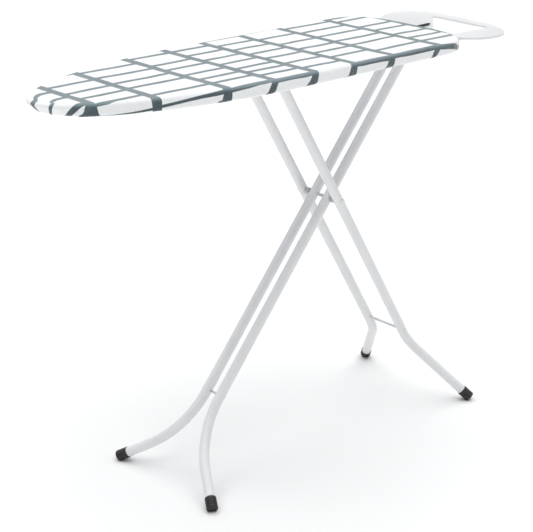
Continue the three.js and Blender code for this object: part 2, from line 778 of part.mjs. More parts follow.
// The outline of a convex shape moved inwards by a distance, or outwards if it is negative.
function movedOutline(shape, distance, curveSegments) {
  const points = shape.getPoints(curveSegments);
  if (THREE.ShapeUtils.isClockWise(points)) points.reverse();
  const distinct = points.filter((point, i) => point.distanceTo(points[(i + 1) % points.length]) > 1e-3);
  const moved = distinct.map((point, i) => {
    const before = distinct[(i + distinct.length - 1) % distinct.length];
    const after = distinct[(i + 1) % distinct.length];
    const into = new THREE.Vector2(before.y - point.y, point.x - before.x).normalize();
    const out = new THREE.Vector2(point.y - after.y, after.x - point.x).normalize();
    const normal = into.add(out).normalize();
    return point.clone().addScaledVector(normal, distance);
  });
  return new THREE.Shape(moved);
}

function makeRestPlate() {
  const low = REST_TOP - REST_RIM;
  const sheetLow = REST_TOP - REST_THICKNESS;
  const outline = movedOutline(restOutline(), 0, 6);
  const underside = slab(movedOutline(restOutline(), REST_THICKNESS, 6), low - 1, sheetLow);
  const frontGap = box([REST_INNER_X - 2, -200, low - 1], [REST_INNER_X + 3, 200, sheetLow]);
  const pan = cut(slab(outline, low, REST_TOP), underside, frontGap);
  const collar = slab(movedOutline(restWindow(), -REST_THICKNESS, 4), REST_TOP - 5, REST_TOP);
  const window = slab(movedOutline(restWindow(), 0, 4), low - 2, REST_TOP + 2);
  addPiece("iron_rest_plate", cut(join(pan, collar), window), whiteEnamel);
}

function makeRestArms() {
  const under = REST_TOP - REST_THICKNESS - GAP - REST_ARM_RADIUS;
  const belowSkirt = COVER_TOP - COVER_DEPTH - 2 - REST_ARM_RADIUS;
  const socket = { from: 366, to: 392, half: 8.5, low: belowSkirt - 7 };
  for (const side of SIDES) {
    const y = side.sign * REST_ARM_Y;
    const corners = [
      new THREE.Vector3(352, y, belowSkirt),
      new THREE.Vector3(438, y, belowSkirt),
      new THREE.Vector3(468, y, under),
      new THREE.Vector3(586, y, under),
    ];
    addPiece("iron_rest_arm_" + side.name, bentBar(corners, REST_ARM_RADIUS, 14, 3, 10), whiteEnamel);
    const corner = [socket.to, y + socket.half, UNDERSIDE - GAP];
    const block = box([socket.from, y - socket.half, socket.low], corner);
    const bore = new THREE.CylinderGeometry(REST_ARM_RADIUS + GAP, REST_ARM_RADIUS + GAP, 40, 14)
      .rotateZ(Math.PI / 2)
      .translate((socket.from + socket.to) / 2, y, belowSkirt);
    addPiece("arm_socket_" + side.name, cut(block, bore), blackPlastic);
  }
}

// A soft strip that stops the iron from sliding towards the board.
const STRIP = { x: 476, y: 13, length: 36, halfWidth: 4, askew: 0.03, top: REST_TOP + 3 };

function makeRestStrip() {
  const half = STRIP.halfWidth;
  const end = STRIP.length / 2;
  const outline = new THREE.Shape();
  outline.moveTo(-end, -half);
  outline.lineTo(end, -half);
  outline.absarc(end, 0, half, -Math.PI / 2, Math.PI / 2, false);
  outline.lineTo(-end, half);
  outline.absarc(-end, 0, half, Math.PI / 2, 1.5 * Math.PI, false);
  const strip = slab(outline, REST_TOP + GAP, STRIP.top, 4).rotateZ(STRIP.askew);
  addPiece("iron_rest_strip", strip.translate(STRIP.x, STRIP.y, 0), blackSilicone);
}

// ---- Build ----

makeCover();
makePad();
makePanel();
makeRib("rib_nose", -470);
makeRib("rib_middle", 92);
makeRib("rib_tail", 286);
SIDES.forEach(makeHingeBracket);
makeHingeRod();
makeHeightRack();
SIDES.forEach(makeSlideGuide);
makeLeverArm();
makeLeverGrip();
makeLeverMount();
makeLeverSpring();
for (const side of SIDES) {
  makeLeg(HINGED, side, HINGE_ROD_RADIUS);
  makeLeg(SLIDING, side, SLIDE_BAR_RADIUS);
  makeFoot(HINGED, side);
  makeFoot(SLIDING, side);
}
makeFrameSpacer(HINGED);
makeFrameSpacer(SLIDING);
makePivot();
makeHingeSleeve();
makeSlideBar();
makeRestPlate();
makeRestArms();
makeRestStrip();

export default ironingBoard;
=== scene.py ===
"""Looks for a folding ironing board with a checked cotton cover, in metres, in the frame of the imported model.

+Z is up, the floor is z = 0, +X runs from the nose of the board to its iron rest, and +Y is the left side.
"""

import json
import math

import bmesh
import bpy
import numpy as np
from mathutils import Matrix, Vector
from mathutils.geometry import delaunay_2d_cdt


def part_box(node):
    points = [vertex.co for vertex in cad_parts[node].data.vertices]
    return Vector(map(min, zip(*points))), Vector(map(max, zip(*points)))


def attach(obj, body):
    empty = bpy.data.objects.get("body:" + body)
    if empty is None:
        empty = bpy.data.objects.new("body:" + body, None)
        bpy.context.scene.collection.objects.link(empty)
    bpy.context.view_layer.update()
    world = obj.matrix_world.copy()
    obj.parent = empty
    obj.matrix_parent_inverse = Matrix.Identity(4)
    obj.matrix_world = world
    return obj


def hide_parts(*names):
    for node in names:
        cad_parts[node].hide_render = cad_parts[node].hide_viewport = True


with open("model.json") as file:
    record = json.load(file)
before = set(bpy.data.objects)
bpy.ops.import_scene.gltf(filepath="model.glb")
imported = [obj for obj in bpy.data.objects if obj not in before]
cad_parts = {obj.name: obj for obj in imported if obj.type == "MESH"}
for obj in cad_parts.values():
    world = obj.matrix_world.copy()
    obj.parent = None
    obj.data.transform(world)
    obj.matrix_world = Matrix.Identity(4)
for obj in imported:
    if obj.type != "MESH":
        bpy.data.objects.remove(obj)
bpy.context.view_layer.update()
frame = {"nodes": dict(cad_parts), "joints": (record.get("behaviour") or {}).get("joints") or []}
MM = 0.001
scene = bpy.context.scene
JOINTS = {joint["name"]: Vector(joint["pos_m"]) for joint in frame["joints"]}
SIDES = (("left", 1), ("right", -1))


def added(name, data):
    """A new object in the scene that holds this data."""
    thing = bpy.data.objects.new(name, data)
    scene.collection.objects.link(thing)
    return thing


# ---- Camera ----

CAMERA_AT = Vector((-2.1015, -2.194, 1.584))
CAMERA_TURNS = (46.57, 20.91, 0.6)
LENS, SENSOR = 100.13, 36


def make_camera():
    yaw, pitch, roll = (math.radians(a) for a in CAMERA_TURNS)
    ahead = Vector((math.cos(yaw) * math.cos(pitch), math.sin(yaw) * math.cos(pitch), -math.sin(pitch)))
    level = Vector((math.sin(yaw), -math.cos(yaw), 0))
    over = level.cross(ahead)
    right = level * math.cos(roll) + over * math.sin(roll)
    up = over * math.cos(roll) - level * math.sin(roll)
    data = bpy.data.cameras.new("camera")
    data.sensor_width, data.lens = SENSOR, LENS
    data.clip_end = 60
    camera = added("camera", data)
    turn = Matrix((right, up, -ahead)).transposed().to_4x4()
    camera.matrix_world = Matrix.Translation(CAMERA_AT) @ turn
    scene.camera = camera


# ---- Node helpers ----


class Shader:
    """A material's node tree, with short calls for the nodes that the finishes below are made of."""

    def __init__(self, name):
        self.material = bpy.data.materials.new(name)
        self.material.use_nodes = True
        self.tree = self.material.node_tree
        self.tree.nodes.clear()
        self.surface = self.node("ShaderNodeBsdfPrincipled")
        self.out = self.node("ShaderNodeOutputMaterial")
        self.put(self.surface.outputs["BSDF"], self.out.inputs["Surface"])

    def node(self, kind, **settings):
        node = self.tree.nodes.new(kind)
        for key, value in settings.items():
            setattr(node, key, value)
        return node

    def put(self, value, socket):
        if isinstance(value, bpy.types.NodeSocket):
            self.tree.links.new(value, socket)
        else:
            socket.default_value = value

    def fed(self, node, **values):
        """Sets or links a node's inputs, whose names here have _ for a space."""
        for key, value in values.items():
            self.put(value, node.inputs[key.replace("_", " ")])
        return node.outputs

    def math(self, operation, *values):
        node = self.node("ShaderNodeMath", operation=operation)
        for value, socket in zip(values, node.inputs):
            self.put(value, socket)
        return node.outputs[0]

    def plus(self, a, b):
        return self.math("ADD", a, b)

    def minus(self, a, b):
        return self.math("SUBTRACT", a, b)

    def times(self, a, b):
        return self.math("MULTIPLY", a, b)

    def place(self):
        return self.node("ShaderNodeTexCoord").outputs["Object"]

    def scaled(self, vector, scale):
        node = self.node("ShaderNodeVectorMath", operation="MULTIPLY")
        self.put(vector, node.inputs[0])
        self.put(scale, node.inputs[1])
        return node.outputs[0]

    def noise(self, vector, scale, detail=2.0, roughness=0.5):
        node = self.node("ShaderNodeTexNoise")
        return self.fed(node, Vector=vector, Scale=scale, Detail=detail, Roughness=roughness)["Fac"]

    def between(self, value, low, high, to_low=0, to_high=1, smooth=False):
        node = self.node("ShaderNodeMapRange", interpolation_type="SMOOTHSTEP" if smooth else "LINEAR")
        outputs = self.fed(node, Value=value, From_Min=low, From_Max=high, To_Min=to_low, To_Max=to_high)
        return outputs["Result"]

    def mix(self, share, a, b):
        node = self.node("ShaderNodeMix", data_type="RGBA")
        self.put(share, node.inputs["Factor"])
        for socket, colour in ((6, a), (7, b)):
            self.put((*colour, 1) if isinstance(colour, tuple) else colour, node.inputs[socket])
        return node.outputs[2]

    def bump(self, height, strength, distance):
        node = self.node("ShaderNodeBump")
        return self.fed(node, Height=height, Strength=strength, Distance=distance)["Normal"]

    def set(self, **sockets):
        self.fed(self.surface, **sockets)


# ---- Finishes ----


def white_enamel():
    s = Shader("white_enamel")
    place = s.place()
    peel = s.noise(place, 700, 2)
    cloud = s.noise(place, 11, 3)
    grain = s.noise(place, 90, 4)
    s.set(
        Base_Color=s.mix(s.between(cloud, 0.3, 0.7), (0.79, 0.80, 0.815), (0.845, 0.85, 0.855)),
        Roughness=s.between(grain, 0.25, 0.75, 0.3, 0.46),
        Normal=s.bump(peel, 0.2, 0.00012),
        Coat_Weight=0.15,
        Coat_Roughness=0.2,
    )
    return s.material


def zinc_steel():
    s = Shader("zinc_steel")
    place = s.place()
    spangle = s.fed(s.node("ShaderNodeTexVoronoi"), Vector=place, Scale=260)
    tone = s.plus(s.times(spangle["Distance"], 0.5), s.noise(place, 45, 4))
    scratch = s.noise(s.scaled(place, (60, 2400, 2400)), 1, 2)
    s.set(
        Base_Color=s.mix(s.between(tone, 0.4, 1.0), (0.52, 0.54, 0.56), (0.76, 0.77, 0.78)),
        Metallic=1.0,
        Roughness=s.between(tone, 0.3, 1.0, 0.22, 0.42),
        Normal=s.bump(scratch, 0.15, 0.0002),
    )
    return s.material


def moulded(name, dark, light, roughness, grain_scale, grain_strength):
    s = Shader(name)
    place = s.place()
    grain = s.noise(place, grain_scale, 3, 0.6)
    haze = s.noise(place, 35, 4)
    s.set(
        Base_Color=s.mix(s.between(haze, 0.35, 0.7), dark, light),
        Roughness=s.between(haze, 0.3, 0.7, roughness - 0.06, roughness + 0.08),
        Normal=s.bump(grain, grain_strength, 0.0003),
    )
    return s.material


def pad_felt():
    s = Shader("pad_felt")
    place = s.place()
    fibre = s.noise(s.scaled(place, (900, 260, 500)), 1, 6, 0.7)
    tuft = s.noise(place, 160, 4)
    s.set(
        Base_Color=s.mix(s.between(fibre, 0.3, 0.7), (0.66, 0.65, 0.62), (0.84, 0.83, 0.8)),
        Roughness=0.95,
        Normal=s.bump(s.plus(fibre, tuft), 0.7, 0.0008),
        Sheen_Weight=0.35,
    )
    return s.material


# The printed check, in millimetres on the flat cloth. It repeats along the board.
REPEAT = 592
BARS = (47.5, 162.5, 309.0, 420.5, 528.5)
BAR_HALF = 9.4
STROKE_HALF = 6.3
STROKES = (
    (-212, -138, -84, -28, 21, 70, 120, 171, 222),
    (-231, -174, -103, -54, -8, 48, 113, 176, 232),
    (-232, -171, -118, -48, -2, 52, 104, 155, 206),
    (-225, -172, -118, -80, -36, 20, 67, 138, 170, 222),
    (-228, -176, -130, -94, -59, -11, 39, 91, 139, 190),
)
LEAN = -11 / REPEAT
CLOTH_HALF = 260
# More than the farthest that a point lies from a bar or a stroke, and the pitch of the weave.
BAR_SPAN, STROKE_SPAN = 80, 60
THREAD = 0.62


def distance_curve(shader, value, marks, low, high, unit):
    """The distance in millimetres from value to the nearest mark, for value from low to high."""
    node = shader.node("ShaderNodeFloatCurve")
    span = high - low
    middles = [(a + b) / 2 for a, b in zip(marks, marks[1:])]
    ups = [(m, min(abs(m - k) for k in marks)) for m in [low, *middles, high]]
    points = sorted([(mark, 0.0) for mark in marks] + ups)
    curve = node.mapping.curves[0]
    while len(curve.points) > 2:
        curve.points.remove(curve.points[1])
    for point, (x, y) in zip(curve.points, (points[0], points[-1])):
        point.location = ((x - low) / span, y / unit)
    for x, y in points[1:-1]:
        curve.points.new((x - low) / span, y / unit)
    for point in curve.points:
        point.handle_type = "VECTOR"
    node.mapping.update()
    shader.put(shader.math("DIVIDE", shader.minus(value, low), span), node.inputs["Value"])
    return shader.times(node.outputs[0], unit)


def cover_cotton():
    s = Shader("cover_cotton")
    cut = s.node("ShaderNodeAttribute", attribute_name="cut").outputs["Vector"]
    split = s.node("ShaderNodeSeparateXYZ")
    s.put(cut, split.inputs[0])
    x = s.times(split.outputs[0], 1000.0)
    y = s.times(split.outputs[1], 1000.0)

    def wobble(scale, size):
        return s.times(s.minus(s.noise(cut, scale, 2), 0.5), size)

    def mark(off, half, slow, fast):
        """Paint up to half a mark's width from its middle, with an uneven edge."""
        width = s.plus(half, s.plus(wobble(*slow), wobble(*fast)))
        return s.between(s.minus(off, width), -0.5, 0.5, 1, 0, True)

    # Bars across the board.
    bar_x = s.plus(x, wobble(9, 7.0))
    wrapped = s.math("WRAP", bar_x, REPEAT, 0)
    marks = [BARS[-1] - REPEAT, *BARS, BARS[0] + REPEAT]
    bar_off = distance_curve(s, wrapped, marks, 0, REPEAT, BAR_SPAN)
    bar = mark(bar_off, BAR_HALF, (30, 2.6), (420, 1.0))

    # Strokes along the board, in columns between the bars.
    lean = s.times(x, LEAN)
    stroke_y = s.minus(s.plus(y, wobble(7, 13.0)), lean)
    stroke_off = None
    for column, strokes in enumerate(STROKES):
        off = distance_curve(s, stroke_y, strokes, -CLOTH_HALF, CLOTH_HALF, STROKE_SPAN)
        low = BARS[column - 1] if column else BARS[-1] - REPEAT
        past, before = s.math("GREATER_THAN", wrapped, low), s.math("LESS_THAN", wrapped, BARS[column])
        inside = s.times(past, before)
        if column == 0:
            inside = s.math("MAXIMUM", inside, s.math("GREATER_THAN", wrapped, BARS[-1]))
        part = s.times(off, inside)
        stroke_off = part if stroke_off is None else s.plus(stroke_off, part)
    stroke = mark(stroke_off, STROKE_HALF, (24, 2.4), (420, 0.8))

    # Paint that streaks along each brush mark, on white cotton. Its tones are painted light on the flat top and
    # painted shade on the skirt.
    pool = s.noise(cut, 16, 3)
    # Painted light and shade: the print takes a lighter colour on the flat top and a darker one down the skirt,
    # set by distance from the top.
    painted_top_light = s.between(split.outputs[2], 4 * MM, 13 * MM, 1.0, 0.0, True)
    dark = s.mix(painted_top_light, (0.055, 0.082, 0.094), (0.165, 0.22, 0.24))
    light = s.mix(painted_top_light, (0.1, 0.14, 0.155), (0.26, 0.33, 0.36))

    def streaked(stretch):
        tone = s.plus(s.times(s.noise(s.scaled(cut, stretch), 1, 3, 0.6), 0.6), s.times(pool, 0.4))
        return s.mix(s.between(tone, 0.35, 0.65), dark, light)

    slub = s.noise(s.scaled(cut, (900, 60, 1)), 1, 2)
    cloth = s.mix(s.between(slub, 0.3, 0.7), (0.90, 0.915, 0.925), (0.935, 0.945, 0.955))
    colour = s.mix(bar, s.mix(stroke, cloth, streaked((24, 520, 1))), streaked((520, 24, 1)))

    # Plain weave, a little fluff, and a sheen on the paint.
    thread = 2 * math.pi / THREAD
    warp, weft = (s.math("SINE", s.times(way, thread)) for way in (x, y))
    weave = s.times(warp, weft)
    fluff = s.noise(cut, 1500, 3)
    s.set(
        Base_Color=colour,
        Roughness=s.between(slub, 0.2, 0.8, 0.8, 0.93),
        Normal=s.bump(s.plus(weave, fluff), 0.35, 0.0002),
        Sheen_Weight=s.between(s.math("MAXIMUM", bar, stroke), 0.0, 1.0, 0.1, 1.0),
        Sheen_Roughness=0.35,
    )
    return s.material


MATERIALS = {
    "white_enamel": white_enamel(),
    "zinc_steel": zinc_steel(),
    "black_plastic": moulded("black_plastic", (0.012, 0.012, 0.013), (0.03, 0.03, 0.032), 0.5, 1500, 0.35),
    "black_silicone": moulded("black_silicone", (0.01, 0.01, 0.011), (0.022, 0.022, 0.024), 0.66, 900, 0.25),
    "grey_plastic": moulded("grey_plastic", (0.42, 0.44, 0.46), (0.52, 0.54, 0.56), 0.45, 1200, 0.2),
    "pad_felt": pad_felt(),
    "cover_cotton": cover_cotton(),
}


# ---- Mesh helpers ----


def reworked(mesh, *edits):
    """Runs edits on a mesh, then turns its faces outwards."""
    edited = bmesh.new()
    edited.from_mesh(mesh)
    for edit in edits:
        edit(edited)
    bmesh.ops.recalc_face_normals(edited, faces=edited.faces)
    edited.to_mesh(mesh)
    edited.free()


def weld(edited):
    bmesh.ops.remove_doubles(edited, verts=edited.verts, dist=1e-6)


def flatten(edited):
    bmesh.ops.dissolve_limit(edited, angle_limit=math.radians(0.5), verts=edited.verts, edges=edited.edges)


def placed(name, mesh, body, slot, replaces, sharp):
    """A new object that rides on a body, wears a slot's finish and stands for CAD nodes."""
    mesh.materials.clear()
    mesh.materials.append(MATERIALS[slot])
    mesh.polygons.foreach_set("use_smooth", [True] * len(mesh.polygons))
    mesh.set_sharp_from_angle(angle=math.radians(sharp))
    shown = added(name, mesh)
    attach(shown, body)
    if replaces:
        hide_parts(*replaces)
    return shown


def piece(name, points, faces, body, slot, replaces=(), sharp=35):
    """A new piece made of these points and faces."""
    mesh = bpy.data.meshes.new(name)
    mesh.from_pydata([tuple(p) for p in points], [], [tuple(f) for f in faces])
    mesh.update()
    reworked(mesh)
    return placed(name, mesh, body, slot, replaces, sharp)


def thickened(shown, name, thickness):
    """Gives a surface the thickness of its sheet, inwards."""
    shell = shown.modifiers.new(name, "SOLIDIFY")
    shell.thickness = thickness
    shell.offset = -1


def bent_line(corners, bend_radius, steps):
    """Points along a line through corners, with each inner corner rounded to an arc."""
    line = [corners[0]]
    for before, corner, after in zip(corners, corners[1:], corners[2:]):
        into, out = (corner - before).normalized(), (after - corner).normalized()
        turn = into.angle(out)
        start = corner - into * bend_radius * math.tan(turn / 2)
        inward = (out - into * out.dot(into)).normalized()
        for step in range(steps + 1):
            a = turn * step / steps
            line.append(start + into * bend_radius * math.sin(a) + inward * bend_radius * (1 - math.cos(a)))
    line.append(corners[-1])
    return line


def tangents(line, closed=False):
    ends = (line[-1], line[0]) if closed else (line[0], line[-1])
    around = [ends[0], *line, ends[1]]
    return [(after - before).normalized() for before, after in zip(around, around[2:])]


def swept(line, sections, closed=False):
    """Rings along a line. sections gives for each point the (across, up) offsets of its ring."""
    heads = tangents(line, closed)
    side = heads[0].orthogonal().normalized()
    points = []
    for i, (place, head) in enumerate(zip(line, heads)):
        side = (side - head * side.dot(head)).normalized()
        up = head.cross(side)
        points += [place + side * a + up * b for a, b in sections(i)]
    return points


def band(one, other):
    """Faces between two rings, which are given as point numbers."""
    return [(one[k - 1], one[k], other[k], other[k - 1]) for k in range(len(one))]


def ring_faces(rings, sides, closed=False):
    loops = [range(k * sides, (k + 1) * sides) for k in range(rings)]
    following = loops[1:] + loops[:1] if closed else loops[1:]
    return [face for one, other in zip(loops, following) for face in band(one, other)]


def circle(radius, sides):
    angles = [2 * math.pi * k / sides for k in range(sides)]
    return [(radius * math.cos(a), radius * math.sin(a)) for a in angles]


def tube(name, line, radius, wall, body, slot, replaces=(), sides=32):
    """A hollow tube with open ends."""
    outer = swept(line, lambda i: circle(radius, sides))
    inner = swept(line, lambda i: circle(radius - wall, sides))
    faces = ring_faces(len(line), sides)
    offset = len(outer)
    faces += [tuple(offset + v for v in reversed(f)) for f in faces]
    for first in (0, offset - sides):
        faces += band(range(first, first + sides), range(offset + first, offset + first + sides))
    return piece(name, outer + inner, faces, body, slot, replaces)


def wire(name, line, radius, body, slot, replaces=(), sides=20, closed=False):
    """A solid round bar along a line, with softly rounded ends."""
    line = list(line)
    scale = [1.0] * len(line)
    if not closed:
        head, tail = (line[1] - line[0]).normalized(), (line[-1] - line[-2]).normalized()
        step = radius * 0.25
        line = [line[0], line[0] + head * step, *line[1:-1], line[-1] - tail * step, line[-1]]
        scale = [0.75, *[1.0] * (len(line) - 2), 0.75]
    points = swept(line, lambda i: circle(radius * scale[i], sides), closed)
    faces = ring_faces(len(line), sides, closed)
    if not closed:
        faces += [tuple(range(sides)), tuple(reversed(range(len(points) - sides, len(points))))]
    return piece(name, points, faces, body, slot, replaces)


def turned(profile, origin, axis, sides=40):
    """Points and faces of a body of revolution. The profile is a list of (radius, height) along the axis."""
    axis = Vector(axis).normalized()
    side = axis.orthogonal().normalized()
    up = axis.cross(side)
    points, rings = [], []
    for radius, height in profile:
        centre = Vector(origin) + axis * height
        if radius < 1e-7:
            rings.append([len(points)])
            points.append(centre)
        else:
            rings.append(list(range(len(points), len(points) + sides)))
            points += [centre + side * a + up * b for a, b in circle(radius, sides)]
    faces = []
    for low, high in zip(rings, rings[1:]):
        for k in range(sides):
            n = (k + 1) % sides
            a, b = low[k % len(low)], low[n % len(low)]
            c, d = high[n % len(high)], high[k % len(high)]
            corners = tuple(dict.fromkeys((a, b, c, d)))
            if len(corners) > 2:
                faces.append(corners)
    return points, faces


def skinned(points, faces, before, rings):
    """Adds closed rings of points, each joined to the one before it by a band of faces."""
    for ring in rings:
        here = range(len(points), len(points) + len(before))
        points += [tuple(p) for p in ring]
        faces += band(before, here)
        before = here
    return before


def at_height(loop, z):
    """A flat outline as points at a height, or at a height for each point."""
    return np.column_stack([loop, np.broadcast_to(z, len(loop))])


def joined(parts):
    points, faces = [], []
    for more_points, more_faces in parts:
        offset = len(points)
        points += list(more_points)
        faces += [tuple(v + offset for v in f) for f in more_faces]
    return points, faces


def dressed(node, bevel, body, slot, segments=2):
    """A CAD node's own shape with its sharp edges broken, as pressed and moulded parts have."""
    mesh = frame["nodes"][node].data.copy()
    reworked(mesh, weld, flatten)
    shown = placed(node + "_dressed", mesh, body, slot, [node], 40)
    edge = shown.modifiers.new("edges", "BEVEL")
    edge.width, edge.segments = bevel, segments
    edge.limit_method = "ANGLE"
    edge.angle_limit = math.radians(40)
    edge.use_clamp_overlap = True
    edge.harden_normals = True


def run_along(line):
    """The distance covered at each point of a flat line."""
    return np.concatenate([[0], np.cumsum(np.linalg.norm(np.diff(line, axis=0), axis=1))])


def respaced(line, count):
    """Evenly spaced points round a closed outline, whose line ends where it starts."""
    run = run_along(line)
    even = np.linspace(0, run[-1], count, endpoint=False)
    return np.column_stack([np.interp(even, run, line[:, i]) for i in (0, 1)])


def rounded_edge(radius, top, steps):
    """A quarter round from a flat top out to a wall, as (inset, height)."""
    arc = np.linspace(0, math.pi / 2, steps)
    return [(radius * (1 - math.sin(a)), top - radius * (1 - math.cos(a))) for a in arc]


def turned_under(radius, low, steps):
    """A quarter round from a wall in to a flat underside, as (inset, height)."""
    arc = np.linspace(0, math.pi / 2, steps)
    return [(radius * (1 - math.cos(a)), low + radius * (1 - math.sin(a))) for a in arc]


# ---- Plan of the board ----

COVER_LOW, COVER_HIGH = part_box("cover")
NOSE_X, TAIL_X, HALF_WIDTH = COVER_LOW.x, COVER_HIGH.x, COVER_HIGH.y
NOSE_TAPER, TAIL_ROUNDING = 482 * MM, 166 * MM
NOSE_POWERS, TAIL_POWERS = (1.65, 2.0), (5.0, 3.0)


def board_outline(inset, steps=60):
    """The outline at an inset as (x, y) points, evenly spaced, anticlockwise from the tail's middle."""
    turn = math.pi / 2 * np.arange(901) / 900

    def end(start, reach, powers):
        along, across = np.sin(turn) ** (2 / powers[0]), np.cos(turn) ** (2 / powers[1])
        return np.column_stack([start + reach * along, (HALF_WIDTH - inset) * across])

    tail = end(TAIL_X - TAIL_ROUNDING, TAIL_ROUNDING - inset, TAIL_POWERS)
    nose = end(NOSE_X + NOSE_TAPER, inset - NOSE_TAPER, NOSE_POWERS)
    side = np.vstack([tail[::-1], nose[1:]])
    loop = np.vstack([side, side[-2:0:-1] * (1, -1)])
    return respaced(np.vstack([loop, loop[:1]]), steps)


def outward(loop):
    """Unit normals of an anticlockwise closed outline."""
    along = np.roll(loop, -1, 0) - np.roll(loop, 1, 0)
    normal = np.column_stack([along[:, 1], -along[:, 0]])
    return normal / np.linalg.norm(normal, axis=1)[:, None]


def bowed(loop):
    """The outline with its straight sides bowed out a little, so that triangulating it leaves no slivers."""
    straight = (NOSE_X + NOSE_TAPER + TAIL_X - TAIL_ROUNDING) / 2
    bow = 0.4 * MM * np.clip(1 - ((loop[:, 0] - straight) / 0.3) ** 2, 0, 1)
    return loop + outward(loop) * bow[:, None]


def stitched(loops):
    """The points of an outline, bowed, and of its holes, with the edges that close each of them."""
    starts = np.cumsum([0, *[len(loop) for loop in loops]])
    edges = [(a + k, a + (k + 1) % (b - a)) for a, b in zip(starts, starts[1:]) for k in range(b - a)]
    return [Vector(p) for p in np.vstack([bowed(loops[0]), *loops[1:]])], edges


def filled(loops, spacing, seed):
    """Spread points and triangles that fill a flat region. loops[0] is its outline, the rest are holes."""
    rng = np.random.default_rng(seed)
    points, edges = stitched(loops)

    def inside(p, loop):
        a, b = loop, np.roll(loop, -1, 0)
        crosses = (a[:, 1] > p[1]) != (b[:, 1] > p[1])
        rise = np.where(b[:, 1] == a[:, 1], 1, b[:, 1] - a[:, 1])
        at = (b[:, 0] - a[:, 0]) * (p[1] - a[:, 1]) / rise + a[:, 0]
        return bool(np.count_nonzero(crosses & (p[0] < at)) % 2)

    rims = np.vstack(loops)
    low, high = loops[0].min(0), loops[0].max(0)
    row = 0
    y = low[1] + spacing / 2
    while y < high[1]:
        x = low[0] + spacing * (0.5 if row % 2 else 1.0)
        while x < high[0]:
            p = np.array((x, y)) + rng.uniform(-0.12, 0.12, 2) * spacing
            near = np.min(np.sum((rims - p) ** 2, axis=1)) < (0.6 * spacing) ** 2
            if not near and inside(p, loops[0]) and not any(inside(p, hole) for hole in loops[1:]):
                points.append(Vector(p))
            x += spacing
        y += spacing * 0.87
        row += 1
    flat, _, faces, _, _, _ = delaunay_2d_cdt(points, edges, [], 0, 1e-7)
    kept = []
    for face in faces:
        middle = np.mean([flat[v] for v in face], axis=0)
        if inside(middle, bowed(loops[0])) and not any(inside(middle, hole) for hole in loops[1:]):
            kept.append(tuple(face))
    spots = np.array([tuple(p) for p in flat])
    spots[: len(loops[0])] = loops[0]
    return spots, kept


# ---- Cover ----

COVER_TOP, SKIRT_LOW = COVER_HIGH.z, COVER_LOW.z
CLOTH, EDGE_ROUND, SKIRT_TUCK = 0.7 * MM, 8 * MM, 8.5 * MM
# The least and most that a fold stands out.
FOLD_LIMITS = (-0.7 * MM, 4.5 * MM)
# Under the nose the skirt is drawn in and lifted, over a reach along the board.
NOSE_TUCK, NOSE_REACH, NOSE_LIFT = 20 * MM, 55 * MM, 2.2 * MM
TUCK_BELOW = 6 * MM
# Round the nose the print is pulled sideways, and the hem's elastic draws it across on the skirt.
NOSE_PULL, PULL_FROM, PULL_OVER = 35 * MM, 52 * MM, 44 * MM
DRAWN = 3.9


def nose_tuck(loop, z):
    """How far the elastic draws the skirt in under the nose, at each point of an outline at a height."""
    near = np.clip((NOSE_X + NOSE_REACH - loop[:, 0]) / NOSE_REACH, 0, 1) ** 0.8
    start = COVER_TOP - TUCK_BELOW
    down = np.clip((start - z) / (start - SKIRT_LOW), 0, 1) ** 1.15
    return NOSE_TUCK * near * down


def printed(x, y):
    """Where the print lies: the cloth is pulled towards the right side as it bends round the nose."""
    pull = np.clip((NOSE_X + PULL_FROM - x) / PULL_OVER, 0, 1) ** 2.2
    return y + NOSE_PULL * pull


def drawn_in(edge, normal, y, depth):
    """The print on the tapered skirt, which its elastic draws across towards the nose."""
    slope = np.clip(np.abs(normal[:, 0]) / np.maximum(np.abs(normal[:, 1]), 0.2), 0, 0.6)
    taper = np.clip((-edge[:, 0] - 0.2) / 0.1, 0, 1) * np.clip((edge[:, 0] - NOSE_X - 0.05) / 0.03, 0, 1)
    return y + np.sign(y) * DRAWN * slope * taper * np.maximum(depth - EDGE_ROUND, 0)


def skirt_profile():
    """The cover's section as (inset, height), from the flat top to where the hem turns in."""
    low = SKIRT_LOW + 0.4 * MM
    wall = [(0.0, z) for z in np.linspace(COVER_TOP - EDGE_ROUND, low + SKIRT_TUCK, 5)[1:]]
    return np.array([*rounded_edge(EDGE_ROUND, COVER_TOP, 9), *wall, *turned_under(SKIRT_TUCK, low, 7)[1:]])


def set_cut(shown, cut):
    """Stores where each point lies in the flat cloth, which the print follows."""
    attribute = shown.data.attributes.new("cut", "FLOAT_VECTOR", "POINT")
    attribute.data.foreach_set("vector", np.array(cut, np.float32).ravel())


def smooth_noise(count, wavelengths, seed, length):
    """A repeatable smooth function round a closed loop, about -1 to 1."""
    rng = np.random.default_rng(seed)
    s = np.arange(count) / count
    total = np.zeros(count)
    for wavelength in wavelengths:
        cycles = max(1, round(length / wavelength))
        for k in range(-2, 3):
            size, shift = rng.normal(), rng.uniform(0, 7)
            total += size * np.sin(2 * math.pi * (cycles + k * max(1, cycles // 9)) * s + shift)
    return total / np.abs(total).max()


